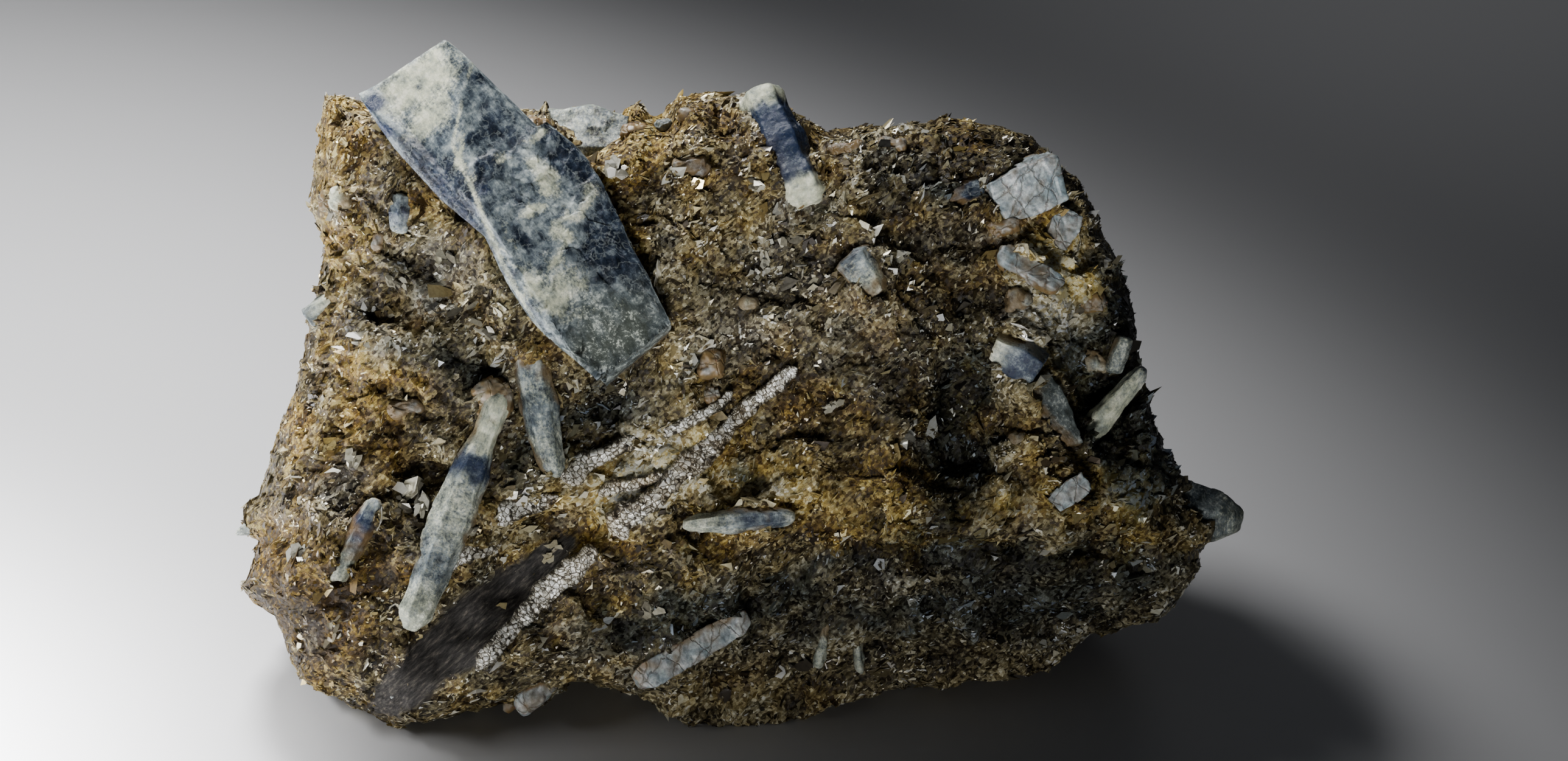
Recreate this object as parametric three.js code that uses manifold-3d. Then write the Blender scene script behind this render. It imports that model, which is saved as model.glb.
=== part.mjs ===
// Hand specimen of sapphire (corundum) crystals in mica schist: one loose chunk of brown mica rock with a
// large barrel-shaped sapphire, smaller sapphire rods and grains, pale feldspar blocks and books of silvery
// mica set in it. Units are millimetres and +Z is up. The chunk is shaped in a leaning frame, where X runs
// to the right, Y runs up its broad face and Z comes out of that face. It is then tipped back onto its foot.
import * as THREE from "three";
import { ConvexGeometry } from "three/addons/geometries/ConvexGeometry.js";
import { LoftGeometry } from "three/addons/geometries/LoftGeometry.js";
import { ParametricGeometry } from "three/addons/geometries/ParametricGeometry.js";
import { mergeGeometries, mergeVertices } from "three/addons/utils/BufferGeometryUtils.js";
import Module from "manifold-3d";

const wasm = await Module();
wasm.setup();

// Driving dimensions.
const FACE_LEAN = THREE.MathUtils.degToRad(60); // turn about X from the leaning frame to the standing one
const FACE_CENTRE = [0, -1]; // middle of the broad face
const RIM_DEPTH = -6; // how far behind the face the widest outline lies
const FRONT_SWELL = 9; // from the widest outline forward to the broad face
const BACK_SWELL = 15; // from the widest outline back to the rear
const FRONT_SHOULDER = 0.26; // share of the radius over which the front rounds to the rim
const BACK_SHOULDER = 0.5; // the same at the rear, which is rounder
const FOOT_HEIGHT = -20.9; // height of the resting plane over the leaning frame's origin
const SEAT_GAP = 0.3; // clearance between a crystal and its seat in the rock
const FACE_STEPS = 36; // facets across the broad face, and across the rear
const FACE_STRETCH = 1.5; // how much wider than high the facet grid is laid out

// The outline of the broad face, clockwise from the upper left corner, as [right, up].
const OUTLINE = [
  [-25.3, 18.5], [-21.8, 17.6], [-18, 17.4], [-13.6, 17.8], [-10, 17.3], [-6.8, 17], [-4.3, 17],
  [-2.3, 18.5], [1.4, 18.7], [4, 17.5], [6.2, 16.2], [9.9, 16.8], [15.6, 16.8], [18.9, 16],
  [21.8, 13.2], [24.1, 8.3],
  [25.2, 4.6], [25.7, 1.2], [26.8, -2.2], [28.4, -5.6], [29.3, -9.2], [29.2, -11.4], [27.2, -14.2],
  [22.6, -15.3], [19.2, -17.8], [14.5, -18.2], [9.7, -18.6], [5, -20.2], [0.6, -21.4], [-2.8, -20.9],
  [-5, -19], [-9.6, -18.2],
  [-14.8, -19.6], [-21.2, -21], [-26.9, -17.9], [-28.6, -14], [-30.6, -12.2], [-29.4, -9.4], [-29.8, -7.6],
  [-28.4, -3.4], [-26.8, 1.4], [-25.9, 5.6], [-25.4, 9.4], [-26.3, 12.5], [-25.6, 15.6],
];

// The ledge that crosses the lower face: below it the face turns under, back towards the foot.
const LEDGE_HEIGHT = -9.5;
const LEDGE_END = 4; // left of here the ledge dips to the foot
const LEDGE_DIP = 0.82; // drop for each millimetre to the left of LEDGE_END
const LEDGE_TOP = 2.2; // how far the ledge stands out of the face's own plane
const UNDERCUT_SLOPE = 0.85; // how steeply the face turns under
const LEAST_SWELL = 1; // what is left of the front's swell where the undercut is deepest
const BLEND_WIDTH = 1.2; // rounding where the ledge meets the face
const RIGHT_FALL_START = 11; // right of here the face falls back
const RIGHT_FALL = 0.2; // by this much for each millimetre

// Hollows and swellings of the broad face: [right, up, half length, half width, turn in degrees, rise].
const FACE_RELIEF = [
  [-14.4, -12.4, 8, 2.2, 43, -3.4], // trough beside the lower mica book
  [14.5, -2, 6, 2, 85, -2], // dark furrow right of the middle
  [21.6, 1.6, 4.6, 2.6, -70, -3], // pocket near the right edge
  [-8.4, -1.4, 3.4, 1.5, 20, -2], // hollow under the end of the large sapphire
  [-15.6, 2.6, 3.2, 1.5, -50, -1.3], // hollow left of the large sapphire
  [14.4, 12.5, 2.6, 1.3, -20, -1.2], // small pit at the upper right
  [-0.2, -5.6, 1.7, 1.1, 40, -1.6], // pit under the middle mica book
  [12, -6.8, 13, 3, 2, 1.3], // lip of the ledge
  [-22, -10.5, 6, 5, 10, 0.9], // shoulder at the lower left
  [-24.2, 15.6, 2.6, 2.6, 0, 1.3], // knob at the upper left corner
  [1, 9, 7, 4, -20, 0.7], // swelling in the middle
];

// Broad lumps over the whole chunk: a sum of plane waves, each [wavelength, height].
const LUMPS = [[17, 0.55], [11, 0.42], [7.3, 0.34], [5.1, 0.24]];
const GOLDEN_TURN = 2.399963;

// How far the outline lies from the face's centre along a direction, counted in lengths of that direction.
function outlineReach(dx, dy) {
  for (let i = 0; i < OUTLINE.length; i++) {
    const [a, b] = [OUTLINE[i], OUTLINE[(i + 1) % OUTLINE.length]];
    const [ax, ay] = [a[0] - FACE_CENTRE[0], a[1] - FACE_CENTRE[1]];
    const [ex, ey] = [b[0] - a[0], b[1] - a[1]];
    const cross = dx * ey - dy * ex;
    const reach = (ax * ey - ay * ex) / cross;
    const share = (ax * dy - ay * dx) / cross;
    if (reach > 0 && share >= 0 && share <= 1) return reach;
  }
  return 1;
}

// Share of the swell at a share of the outline's radius: full across the middle, then a quarter of an ellipse
// over the shoulder.
function swellAt(radius, shoulder) {
  const over = Math.min(1, Math.max(0, (radius - 1 + shoulder) / shoulder));
  return Math.sqrt(1 - over * over);
}

// Height of the broad face's relief over its plane: a sum of rounded hollows and swellings.
function faceRelief(x, y) {
  return FACE_RELIEF.reduce((sum, [cx, cy, long, wide, turn, rise]) => {
    const angle = THREE.MathUtils.degToRad(turn);
    const along = (x - cx) * Math.cos(angle) + (y - cy) * Math.sin(angle);
    const across = (y - cy) * Math.cos(angle) - (x - cx) * Math.sin(angle);
    return sum + rise * Math.exp(-((along / long) ** 2) - (across / wide) ** 2);
  }, 0);
}

// The lower of two heights, with the corner between them rounded.
function softLower(a, b) {
  const gap = Math.abs(a - b) / BLEND_WIDTH;
  return Math.min(a, b) - BLEND_WIDTH * 0.5 * Math.exp(-gap * 2);
}

// Depth of the front surface where the rounded shoulder stands at a given share of its swell.
function frontDepth(x, y, swell) {
  const relief = faceRelief(x, y) - RIGHT_FALL * Math.max(0, x - RIGHT_FALL_START);
  const ledge = LEDGE_HEIGHT - LEDGE_DIP * Math.max(0, LEDGE_END - x);
  const under = LEDGE_TOP - RIM_DEPTH + 0.4 * relief - UNDERCUT_SLOPE * (ledge - y);
  return RIM_DEPTH + swell * softLower(FRONT_SWELL + relief, Math.max(under, LEAST_SWELL));
}

// Broad lumps at a point of the leaning frame.
function lumps(x, y, z) {
  return LUMPS.reduce((sum, [length, height], i) => {
    const turn = GOLDEN_TURN * (i + 1);
    const k = (2 * Math.PI) / length;
    const first = Math.sin(k * (x * Math.cos(turn) + y * Math.sin(turn)) + turn + z * k * 0.6);
    const second = Math.sin(k * (y * Math.cos(turn) - x * Math.sin(turn)) - turn + z * k * 0.8);
    return sum + height * first * second;
  }, 0);
}

// A point of the front or rear surface for a place on a square grid that runs from -1 to 1 both ways: squares
// round the grid's middle become rings round the face's centre, and the grid's border becomes the outline.
function rockPoint(s, t, front, target) {
  const radius = Math.max(Math.abs(s), Math.abs(t));
  const flat = Math.abs(s) >= Math.abs(t);
  const turn = flat ? (Math.PI / 4) * (t / (s || 1)) : Math.PI / 2 - (Math.PI / 4) * (s / t);
  const side = (flat ? s : t) < 0 ? -1 : 1;
  const [dx, dy] = [side * Math.cos(turn) * FACE_STRETCH, side * Math.sin(turn)];
  const reach = radius * outlineReach(dx, dy);
  const [x, y] = [FACE_CENTRE[0] + dx * reach, FACE_CENTRE[1] + dy * reach];
  const swell = swellAt(radius, front ? FRONT_SHOULDER : BACK_SHOULDER);
  const z = front ? frontDepth(x, y, swell) : RIM_DEPTH - BACK_SWELL * swell;
  target.set(x, y, z + lumps(x, y, z) * (front ? 0.3 + 0.7 * swell : 0.3 - 2 * swell));
}

// Depth of the front surface under a point of the broad face.
function surfaceDepth(x, y) {
  const radius = 1 / outlineReach(x - FACE_CENTRE[0], y - FACE_CENTRE[1]);
  const swell = swellAt(radius, FRONT_SHOULDER);
  const z = frontDepth(x, y, swell);
  return z + lumps(x, y, z) * (0.3 + 0.7 * swell);
}

// A closed geometry as a manifold-3d solid, with only positions and with shared corners merged.
function solidOf(geometry) {
  const bare = new THREE.BufferGeometry();
  bare.setAttribute("position", geometry.attributes.position);
  bare.setIndex(geometry.index);
  const merged = mergeVertices(bare, 1e-4);
  return new wasm.Manifold(
    new wasm.Mesh({
      numProp: 3,
      vertProperties: new Float32Array(merged.attributes.position.array),
      triVerts: new Uint32Array(merged.index.array),
    }),
  );
}

// A manifold-3d solid as a three.js geometry. A cut can leave crumbs loose, so only the largest body is kept.
function geometryOf(solid) {
  const body = solid.decompose().reduce((best, next) => (next.volume() > best.volume() ? next : best));
  const mesh = body.getMesh();
  const geometry = new THREE.BufferGeometry();
  geometry.setAttribute("position", new THREE.BufferAttribute(mesh.vertProperties, 3));
  geometry.setIndex(new THREE.BufferAttribute(mesh.triVerts, 1));
  geometry.computeVertexNormals();
  return geometry;
}

// Crystal habits: sections strung along the crystal's own Y axis, each [place along the length from -0.5 to
// 0.5, share of the full width, share of the full thickness, slope of the section across the width].
const HABITS = {
  barrel: {
    sides: 6,
    sections: [[-0.5, 0.74, 0.7, 0], [-0.24, 0.97, 0.95, 0], [0.14, 1, 1, 0], [0.5, 0.86, 0.8, 0]],
  },
  rod: {
    sides: 6,
    sections: [
      [-0.5, 0.55, 0.5, 0], [-0.44, 0.88, 0.9, 0], [0, 1, 1, 0], [0.46, 0.82, 0.85, 0], [0.5, 0.5, 0.5, 0],
    ],
  },
  lath: {
    sides: 4,
    sections: [[-0.5, 0.6, 0.8, 0.1], [-0.4, 1, 1, 0], [0.42, 0.9, 1, 0], [0.5, 0.55, 0.8, -0.1]],
  },
  wedge: { sides: 6, sections: [[-0.5, 1, 1, 0], [0.05, 0.9, 0.9, 0], [0.5, 0.16, 0.24, 0]] },
  block: { sides: 4, sections: [[-0.5, 0.82, 0.9, 0.14], [0.1, 1, 1, 0], [0.5, 0.86, 0.9, -0.1]] },
};
// Corners of a flattened six-sided and of a four-sided section, in half widths and half thicknesses.
const SECTION_CORNERS = {
  6: [[1, 0.12], [0.48, 1], [-0.52, 0.94], [-1, -0.1], [-0.5, -1], [0.5, -0.94]],
  4: [[1, 0.9], [-0.94, 1], [-1, -0.9], [0.96, -1]],
};

// Corners of the large sapphire, a barrel broken slantwise at its upper end, as [across, along, out]:
// a diagonal ridge runs down from its top corner and parts a slanting left face from the broad right one.
const LARGE_SAPPHIRE_CORNERS = [
  [-3.1, 11.65, 1.3], [3.3, 10.85, 2.4], [-1.45, 0.4, 4.2], // upper left face
  [-2.75, -11.8, 3.8], [3.4, -11.7, 1.2], // lower end
  [5.2, 2.6, 1.4], [5.6, -0.2, 0.9], [5.5, -1.9, 0.7], [5, -4.1, 0.7], [4.5, -6.3, 0.8], // right edge
  [-3.35, 7.2, 0.6], [-3.45, 3.2, 0.8], [-3.4, -4.5, 0.9], [-3.25, -8.4, 1.6], // straight left edge
  [3.4, 10.8, 0.6], [5.4, 1, -1], [2.5, -11.6, -2.2], [-2.5, -11.7, -2], // under the right edge and the end
  [-2.4, 11.4, -2.6], [2.3, 10.7, -2.8], [-2.9, 0, -3.2], [3.6, 0, -3.2], // rear
];

// Points of a crystal of one of the habits, with every face moved out by grow.
function habitPoints({ habit, long, wide, thick }, grow) {
  const { sides, sections } = HABITS[habit];
  return sections.flatMap(([along, w, t, slope]) =>
    SECTION_CORNERS[sides].map(([cx, cz]) => {
      const halfWidth = (wide / 2) * w + grow;
      const halfThick = (thick / 2) * t + grow;
      const end = along * (long + (Math.abs(along) === 0.5 ? 2 * grow : 0));
      return new THREE.Vector3(cx * halfWidth, end + slope * cx * halfWidth, cz * halfThick);
    }),
  );
}

// The convex crystal, with every corner moved out by grow where its seat is wanted.
function crystalGeometry(crystal, grow = 0) {
  if (crystal.habit) return new ConvexGeometry(habitPoints(crystal, grow));
  return new ConvexGeometry(
    crystal.corners.map(([x, y, z]) => {
      const out = new THREE.Vector3(Math.sign(x), Math.sign(y) * (Math.abs(y) > 10 ? 1 : 0), Math.sign(z));
      return new THREE.Vector3(x, y, z).addScaledVector(out, grow);
    }),
  );
}

const MINERALS = {
  schist: new THREE.MeshStandardMaterial({ color: 0x5f4526, roughness: 0.62, metalness: 0.1 }),
  sapphire: new THREE.MeshStandardMaterial({ color: 0x66788a, roughness: 0.35, metalness: 0 }),
  blue_sapphire: new THREE.MeshStandardMaterial({ color: 0x2c4474, roughness: 0.3, metalness: 0 }),
  feldspar: new THREE.MeshStandardMaterial({ color: 0xb4b6ac, roughness: 0.5, metalness: 0 }),
  mica: new THREE.MeshStandardMaterial({ color: 0xa49c88, roughness: 0.3, metalness: 0.4 }),
};

// Every crystal: place of its middle on the face, how far that stands out of the rock, its size, the turn of
// its length in the face (0 points right, 90 up), the pitch of its upper end out of the face, and its roll.
const CRYSTALS = [
  {
    name: "large_sapphire", mineral: "sapphire", corners: LARGE_SAPPHIRE_CORNERS,
    x: -13.1, y: 11, stand: 1.2, turn: 128.8, pitch: -7, roll: 0,
  },
  {
    name: "speckled_sapphire_top", mineral: "sapphire", habit: "block",
    x: -8.9, y: 16.2, z: -1.9, long: 5, wide: 3.3, thick: 3.4, turn: -4, pitch: 0, roll: 0,
  },
  {
    name: "blue_sapphire_top", mineral: "blue_sapphire", habit: "rod",
    x: 3.3, y: 15, z: 1.2, long: 8.6, wide: 2.9, thick: 2.8, turn: 114, pitch: -22, roll: 10,
  },
  {
    name: "rod_under_large_sapphire", mineral: "sapphire", habit: "rod",
    x: -11.8, y: -0.4, stand: 0.3, long: 8.8, wide: 2, thick: 1.9, turn: 102, pitch: -6, roll: 0,
  },
  {
    name: "long_rod_lower_left", mineral: "sapphire", habit: "rod",
    x: -16.8, y: -7.3, stand: 0.7, long: 15.8, wide: 2.7, thick: 2.2, turn: 69, pitch: -6, roll: 12,
  },
  {
    name: "short_rod_left", mineral: "blue_sapphire", habit: "rod",
    x: -23, y: -9.3, stand: 0.1, long: 4.9, wide: 1.6, thick: 1.5, turn: 64, pitch: 4, roll: 0,
  },
  {
    name: "grain_upper_left", mineral: "sapphire", habit: "rod",
    x: -20.2, y: 11, stand: 0.2, long: 2.7, wide: 1.5, thick: 1.5, turn: 85, pitch: 0, roll: 20,
  },
  {
    name: "grain_left_edge", mineral: "sapphire", habit: "block",
    x: -25.2, y: 5.1, z: -2.2, long: 2.4, wide: 1.8, thick: 2, turn: 25, pitch: 0, roll: 15,
  },
  {
    name: "tooth_left_edge", mineral: "sapphire", habit: "wedge",
    x: -29.3, y: -8.2, z: -5, long: 3.4, wide: 2, thick: 1.8, turn: 205, pitch: 0, roll: 0,
  },
  {
    name: "rod_lower_middle", mineral: "sapphire", habit: "rod",
    x: 0.6, y: -7.9, stand: 0.5, long: 6.6, wide: 1.6, thick: 1.6, turn: 4, pitch: 0, roll: 0,
  },
  {
    name: "rod_right", mineral: "sapphire", habit: "rod",
    x: 23, y: -1.8, stand: 0.9, long: 6, wide: 1.6, thick: 1.5, turn: 50, pitch: -4, roll: 0,
  },
  {
    name: "grain_right_edge", mineral: "sapphire", habit: "rod",
    x: 24.2, y: 2.3, z: -2, long: 2.4, wide: 1.5, thick: 1.5, turn: 70, pitch: 0, roll: 0,
  },
  {
    name: "wedge_in_right_pocket", mineral: "sapphire", habit: "block",
    x: 20, y: -1.3, stand: 0.2, long: 4, wide: 2, thick: 1.8, turn: -58, pitch: 0, roll: -20,
  },
  {
    name: "blue_grain_right", mineral: "blue_sapphire", habit: "block",
    x: 17.8, y: 2.2, stand: 0.5, long: 3.2, wide: 2, thick: 2, turn: -28, pitch: 0, roll: 25,
  },
  {
    name: "dark_grain_upper_right", mineral: "blue_sapphire", habit: "rod",
    x: 14.2, y: 12.3, stand: 0.1, long: 2.4, wide: 1.6, thick: 1.5, turn: 20, pitch: 0, roll: 0,
  },
  {
    name: "sapphire_point_right", mineral: "blue_sapphire", habit: "wedge",
    x: 27.9, y: -7.4, z: -5.6, long: 8.4, wide: 4.6, thick: 3.6, turn: -10, pitch: 0, roll: 25,
  },
  {
    name: "grain_middle", mineral: "sapphire", habit: "rod",
    x: 8.4, y: 7.3, stand: 0, long: 3.1, wide: 1.9, thick: 1.7, turn: -55, pitch: 0, roll: 10,
  },
  {
    name: "dark_grain_top", mineral: "blue_sapphire", habit: "rod",
    x: -2.4, y: 13.9, stand: 0, long: 2.1, wide: 1.4, thick: 1.5, turn: 10, pitch: 0, roll: 0,
  },
  {
    name: "feldspar_block_large", mineral: "feldspar", habit: "block",
    x: 18.3, y: 12.6, stand: 0, long: 4.5, wide: 3.3, thick: 3, turn: 22, pitch: -8, roll: 10,
  },
  {
    name: "feldspar_block_small", mineral: "feldspar", habit: "block",
    x: 20.5, y: 10.2, stand: 0, long: 2.5, wide: 2, thick: 2.2, turn: 65, pitch: 0, roll: 12,
  },
  {
    name: "lath_upper_right", mineral: "feldspar", habit: "lath",
    x: 18.5, y: 7.5, stand: 0.5, long: 4.4, wide: 1.3, thick: 1.4, turn: -30, pitch: 0, roll: -25,
  },
  {
    name: "pale_grain_lower_right", mineral: "feldspar", habit: "block",
    x: 21, y: -6.2, stand: 0.1, long: 2.6, wide: 1.5, thick: 1.6, turn: 37, pitch: 0, roll: 0,
  },
  {
    name: "clear_tooth_foot", mineral: "feldspar", habit: "wedge",
    x: -12.9, y: -18, z: -5, long: 4.6, wide: 3, thick: 2, turn: -118, pitch: 0, roll: 20,
  },
  {
    name: "lath_under_ledge", mineral: "feldspar", habit: "lath",
    x: -2.3, y: -15.9, stand: 0.3, long: 8, wide: 1.8, thick: 1.8, turn: 30, pitch: -6, roll: 0,
  },
  {
    name: "rear_sapphire", mineral: "sapphire", habit: "barrel",
    x: 8, y: 5, z: -20.6, long: 10, wide: 4.4, thick: 4, turn: 35, pitch: 6, roll: 0,
  },
];

// Books of mica seen edge on, each a thin curved slab set on edge in the face:
// the line of its top edge, its thickness at each end and how deep it goes.
const MICA_BOOKS = [
  {
    name: "mica_book_upper", line: [[-10.2, -5.2], [-6.9, -3.5], [-4, -2.4], [-1.4, -1.7]],
    thick: [1.4, 0.6], stand: 0.9, deep: 2.6,
  },
  {
    name: "mica_book_middle", line: [[3.4, 0.4], [0.8, -1.9], [-1.2, -4.4], [-4, -6.4], [-6.8, -8.4]],
    thick: [0.8, 1.5], stand: 0.9, deep: 2.6,
  },
  {
    name: "mica_book_lower", line: [[-8.4, -9.8], [-11, -12.2], [-13.4, -14.6], [-15.2, -16.8]],
    thick: [1.5, 1], stand: 1.1, deep: 3,
  },
];

// Slab of a mica book, grown by grow on every side. Its top edge follows the rock's surface, evened out along
// the line, and its foot lies a fixed depth below.
function bookGeometry({ line, thick, stand, deep }, grow = 0) {
  const curve = new THREE.SplineCurve(line.map(([x, y]) => new THREE.Vector2(x, y)));
  const steps = 4 * (line.length - 1);
  const depths = curve.getPoints(steps).map(({ x, y }) => surfaceDepth(x, y));
  const sections = depths.map((depth, i) => {
    const [point, way] = [curve.getPoint(i / steps), curve.getTangent(i / steps)];
    const [before, after] = [depths[Math.max(0, i - 2)], depths[Math.min(steps, i + 2)]];
    const top = (before + depth + after) / 3 + stand + grow;
    const half = THREE.MathUtils.lerp(thick[0], thick[1], i / steps) / 2 + grow;
    const end = i === 0 ? -grow : i === steps ? grow : 0;
    const [x, y] = [point.x + way.x * end, point.y + way.y * end];
    const corner = (side, z) => new THREE.Vector3(x - way.y * half * side, y + way.x * half * side, z);
    const foot = top - stand - deep - 2 * grow;
    return [corner(1, top), corner(-1, top), corner(-1, foot), corner(1, foot)];
  });
  return new LoftGeometry(sections, { capStart: true, capEnd: true });
}

// Turn of a crystal: its length along the stated direction, its thickness as near to out of the face as it can
// be, then rolled about its length.
function crystalTurn({ turn, pitch, roll }) {
  const [t, p] = [THREE.MathUtils.degToRad(turn), THREE.MathUtils.degToRad(pitch)];
  const length = new THREE.Vector3(Math.cos(t) * Math.cos(p), Math.sin(t) * Math.cos(p), Math.sin(p));
  const across = new THREE.Vector3().crossVectors(length, new THREE.Vector3(0, 0, 1)).normalize();
  const out = new THREE.Vector3().crossVectors(across, length);
  const axes = new THREE.Matrix4().makeBasis(across, length, out);
  const lengthwise = new THREE.Vector3(0, 1, 0);
  const rolled = new THREE.Quaternion().setFromAxisAngle(lengthwise, THREE.MathUtils.degToRad(roll));
  return new THREE.Quaternion().setFromRotationMatrix(axes).multiply(rolled);
}

const specimen = new THREE.Group();
const leaning = new THREE.Group();
leaning.rotation.x = FACE_LEAN;
specimen.add(leaning);

// The chunk before any seat is cut: a front and a rear surface that share their border, each in four quarters
// whose facets mirror one another.
const quarters = [1, -1].flatMap((right) =>
  [1, -1].flatMap((up) =>
    [true, false].map((front) => {
      const swapped = right * up > 0 !== front;
      const place = (a, b, target) =>
        rockPoint(right * (swapped ? b : a), up * (swapped ? a : b), front, target);
      return new ParametricGeometry(place, FACE_STEPS / 2, FACE_STEPS / 2);
    }),
  ),
);
let rock = solidOf(mergeGeometries(quarters));

// The foot: everything below the resting plane is cut away.
const below = new THREE.BoxGeometry(200, 200, 60);
below.translate(0, 0, FOOT_HEIGHT - 30);
below.rotateX(-FACE_LEAN);
const underfoot = solidOf(below);
rock = rock.subtract(underfoot);

// Each crystal is placed, and its seat is cut with the clearance on every side.
for (const crystal of CRYSTALS) {
  const mesh = new THREE.Mesh(crystalGeometry(crystal), MINERALS[crystal.mineral]);
  mesh.name = crystal.name;
  mesh.position.set(crystal.x, crystal.y, crystal.z ?? surfaceDepth(crystal.x, crystal.y) + crystal.stand);
  mesh.quaternion.copy(crystalTurn(crystal));
  mesh.updateMatrix();
  const seat = crystalGeometry(crystal, SEAT_GAP).applyMatrix4(mesh.matrix);
  rock = rock.subtract(solidOf(seat));
  leaning.add(mesh);
}
for (const book of MICA_BOOKS) {
  const mesh = new THREE.Mesh(bookGeometry(book), MINERALS.mica);
  mesh.name = book.name;
  rock = rock.subtract(solidOf(bookGeometry(book, SEAT_GAP)));
  leaning.add(mesh);
}

const matrixMesh = new THREE.Mesh(geometryOf(rock), MINERALS.schist);
matrixMesh.name = "schist_matrix";
leaning.add(matrixMesh);

// The origin is the middle of the specimen's box, on the plane that it stands on.
specimen.updateMatrixWorld(true);
const box = new THREE.Box3().setFromObject(specimen, true);
const middle = box.getCenter(new THREE.Vector3());
specimen.position.set(-middle.x, -middle.y, -box.min.z);
specimen.updateMatrixWorld(true);

export default specimen;
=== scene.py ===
import bpy
import numpy as np
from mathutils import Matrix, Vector


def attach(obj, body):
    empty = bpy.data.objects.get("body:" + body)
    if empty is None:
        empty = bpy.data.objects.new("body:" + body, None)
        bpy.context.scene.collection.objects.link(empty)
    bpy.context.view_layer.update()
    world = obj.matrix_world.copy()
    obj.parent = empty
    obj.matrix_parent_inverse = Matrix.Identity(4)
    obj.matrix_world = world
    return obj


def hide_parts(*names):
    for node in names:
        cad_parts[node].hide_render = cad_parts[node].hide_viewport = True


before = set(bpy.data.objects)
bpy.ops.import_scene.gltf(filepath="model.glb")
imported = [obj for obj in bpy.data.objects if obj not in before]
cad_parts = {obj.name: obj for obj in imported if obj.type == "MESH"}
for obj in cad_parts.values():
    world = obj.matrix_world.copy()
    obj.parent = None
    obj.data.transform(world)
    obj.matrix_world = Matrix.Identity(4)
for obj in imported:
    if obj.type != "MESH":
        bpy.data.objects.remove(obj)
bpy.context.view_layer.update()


# The chunk of mica schist
# The body of the specimen: coarse mica rock, hammered off an outcrop, so it is broken all round and
# crumbles. Its broad face leans back, and its foot is worn flat. All shapes here are worked out in a
# leaning frame, in millimetres: X to the right, Y up the broad face, Z out of it.
LEAN = np.radians(60)
CHUNK_PLACE = np.array([-0.594, -6.340, 20.9])
FACE_CENTRE = np.array([0.0, -1.0])
RIM_DEPTH, FRONT_SWELL, BACK_SWELL = -6.0, 9.0, 15.0
FRONT_SHOULDER, BACK_SHOULDER = 0.26, 0.5
OUTLINE = np.array([
    [-25.3, 18.5], [-21.8, 17.6], [-18, 17.4], [-13.6, 17.8], [-10, 17.3], [-6.8, 17], [-4.3, 17],
    [-2.3, 18.5], [1.4, 18.7], [4, 17.5], [6.2, 16.2], [9.9, 16.8], [15.6, 16.8], [18.9, 16],
    [21.8, 13.2], [24.1, 8.3], [25.2, 4.6], [25.7, 1.2], [26.8, -2.2], [28.4, -5.6], [29.3, -9.2],
    [29.2, -11.4], [27.2, -14.2], [22.6, -15.3], [19.2, -17.8], [14.5, -18.2], [9.7, -18.6], [5, -20.2],
    [0.6, -21.4], [-2.8, -20.9], [-5, -19], [-9.6, -18.2], [-14.8, -19.6], [-21.2, -21], [-26.9, -17.9],
    [-28.6, -14], [-30.6, -12.2], [-29.4, -9.4], [-29.8, -7.6], [-28.4, -3.4], [-26.8, 1.4], [-25.9, 5.6],
    [-25.4, 9.4], [-26.3, 12.5], [-25.6, 15.6]])
LEDGE_HEIGHT, LEDGE_END, LEDGE_DIP, LEDGE_TOP = -9.5, 4.0, 0.82, 2.2
UNDERCUT_SLOPE, LEAST_SWELL, BLEND_WIDTH = 0.85, 1.0, 1.2
RIGHT_FALL_START, RIGHT_FALL = 11.0, 0.2
# Hollows and swellings: right, up, half length, half width, turn in degrees, rise.
FACE_RELIEF = [
    (-14.4, -12.4, 8, 2.2, 43, -3.4), (14.5, -2, 6, 2, 85, -2), (21.6, 1.6, 4.6, 2.6, -70, -3),
    (-8.4, -1.4, 3.4, 1.5, 20, -2), (-15.6, 2.6, 3.2, 1.5, -50, -1.3), (14.4, 12.5, 2.6, 1.3, -20, -1.2),
    (-0.2, -5.6, 1.7, 1.1, 40, -1.6), (12, -6.8, 13, 3, 2, 1.3), (-22, -10.5, 6, 5, 10, 0.9),
    (-24.2, 15.6, 2.6, 2.6, 0, 1.3), (1, 9, 7, 4, -20, 0.7)]
LUMPS = [(17, 0.55), (11, 0.42), (7.3, 0.34), (5.1, 0.24)]
CHUNK_STEPS = 218
# Each broad lump's waves are turned by this from the last one's, and the face is this much wider than high.
GOLDEN_ANGLE, FACE_STRETCH = 2.399963, 1.5
# Size, rise, tilt and seed of the stones that the rock breaks into.
STONES = [(3.4, 0.44, 0.20, 11), (1.7, 0.30, 0.24, 23), (0.85, 0.16, 0.26, 37)]
# Bearing of the mica's grain in the face, in degrees counterclockwise from the right.
GRAIN_BEARING = 42


def stood_up(points):
    """The leaning frame's points in the standing frame, in metres: turned back about X, shifted, scaled,
    and pressed flat where they would go below the plane that the chunk stands on."""
    x, y, z = points[..., 0], points[..., 1], points[..., 2]
    upright = np.stack([x, y * np.cos(LEAN) - z * np.sin(LEAN), y * np.sin(LEAN) + z * np.cos(LEAN)], -1)
    upright = upright + CHUNK_PLACE
    upright[..., 2] = np.maximum(upright[..., 2], 0.01)
    return upright * 0.001


def leaned(points):
    """Standing-frame metres taken back to leaning-frame millimetres."""
    x, y, z = (np.asarray(points) * 1000 - CHUNK_PLACE).T
    return np.stack([x, y * np.cos(LEAN) + z * np.sin(LEAN), z * np.cos(LEAN) - y * np.sin(LEAN)], -1)


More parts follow.
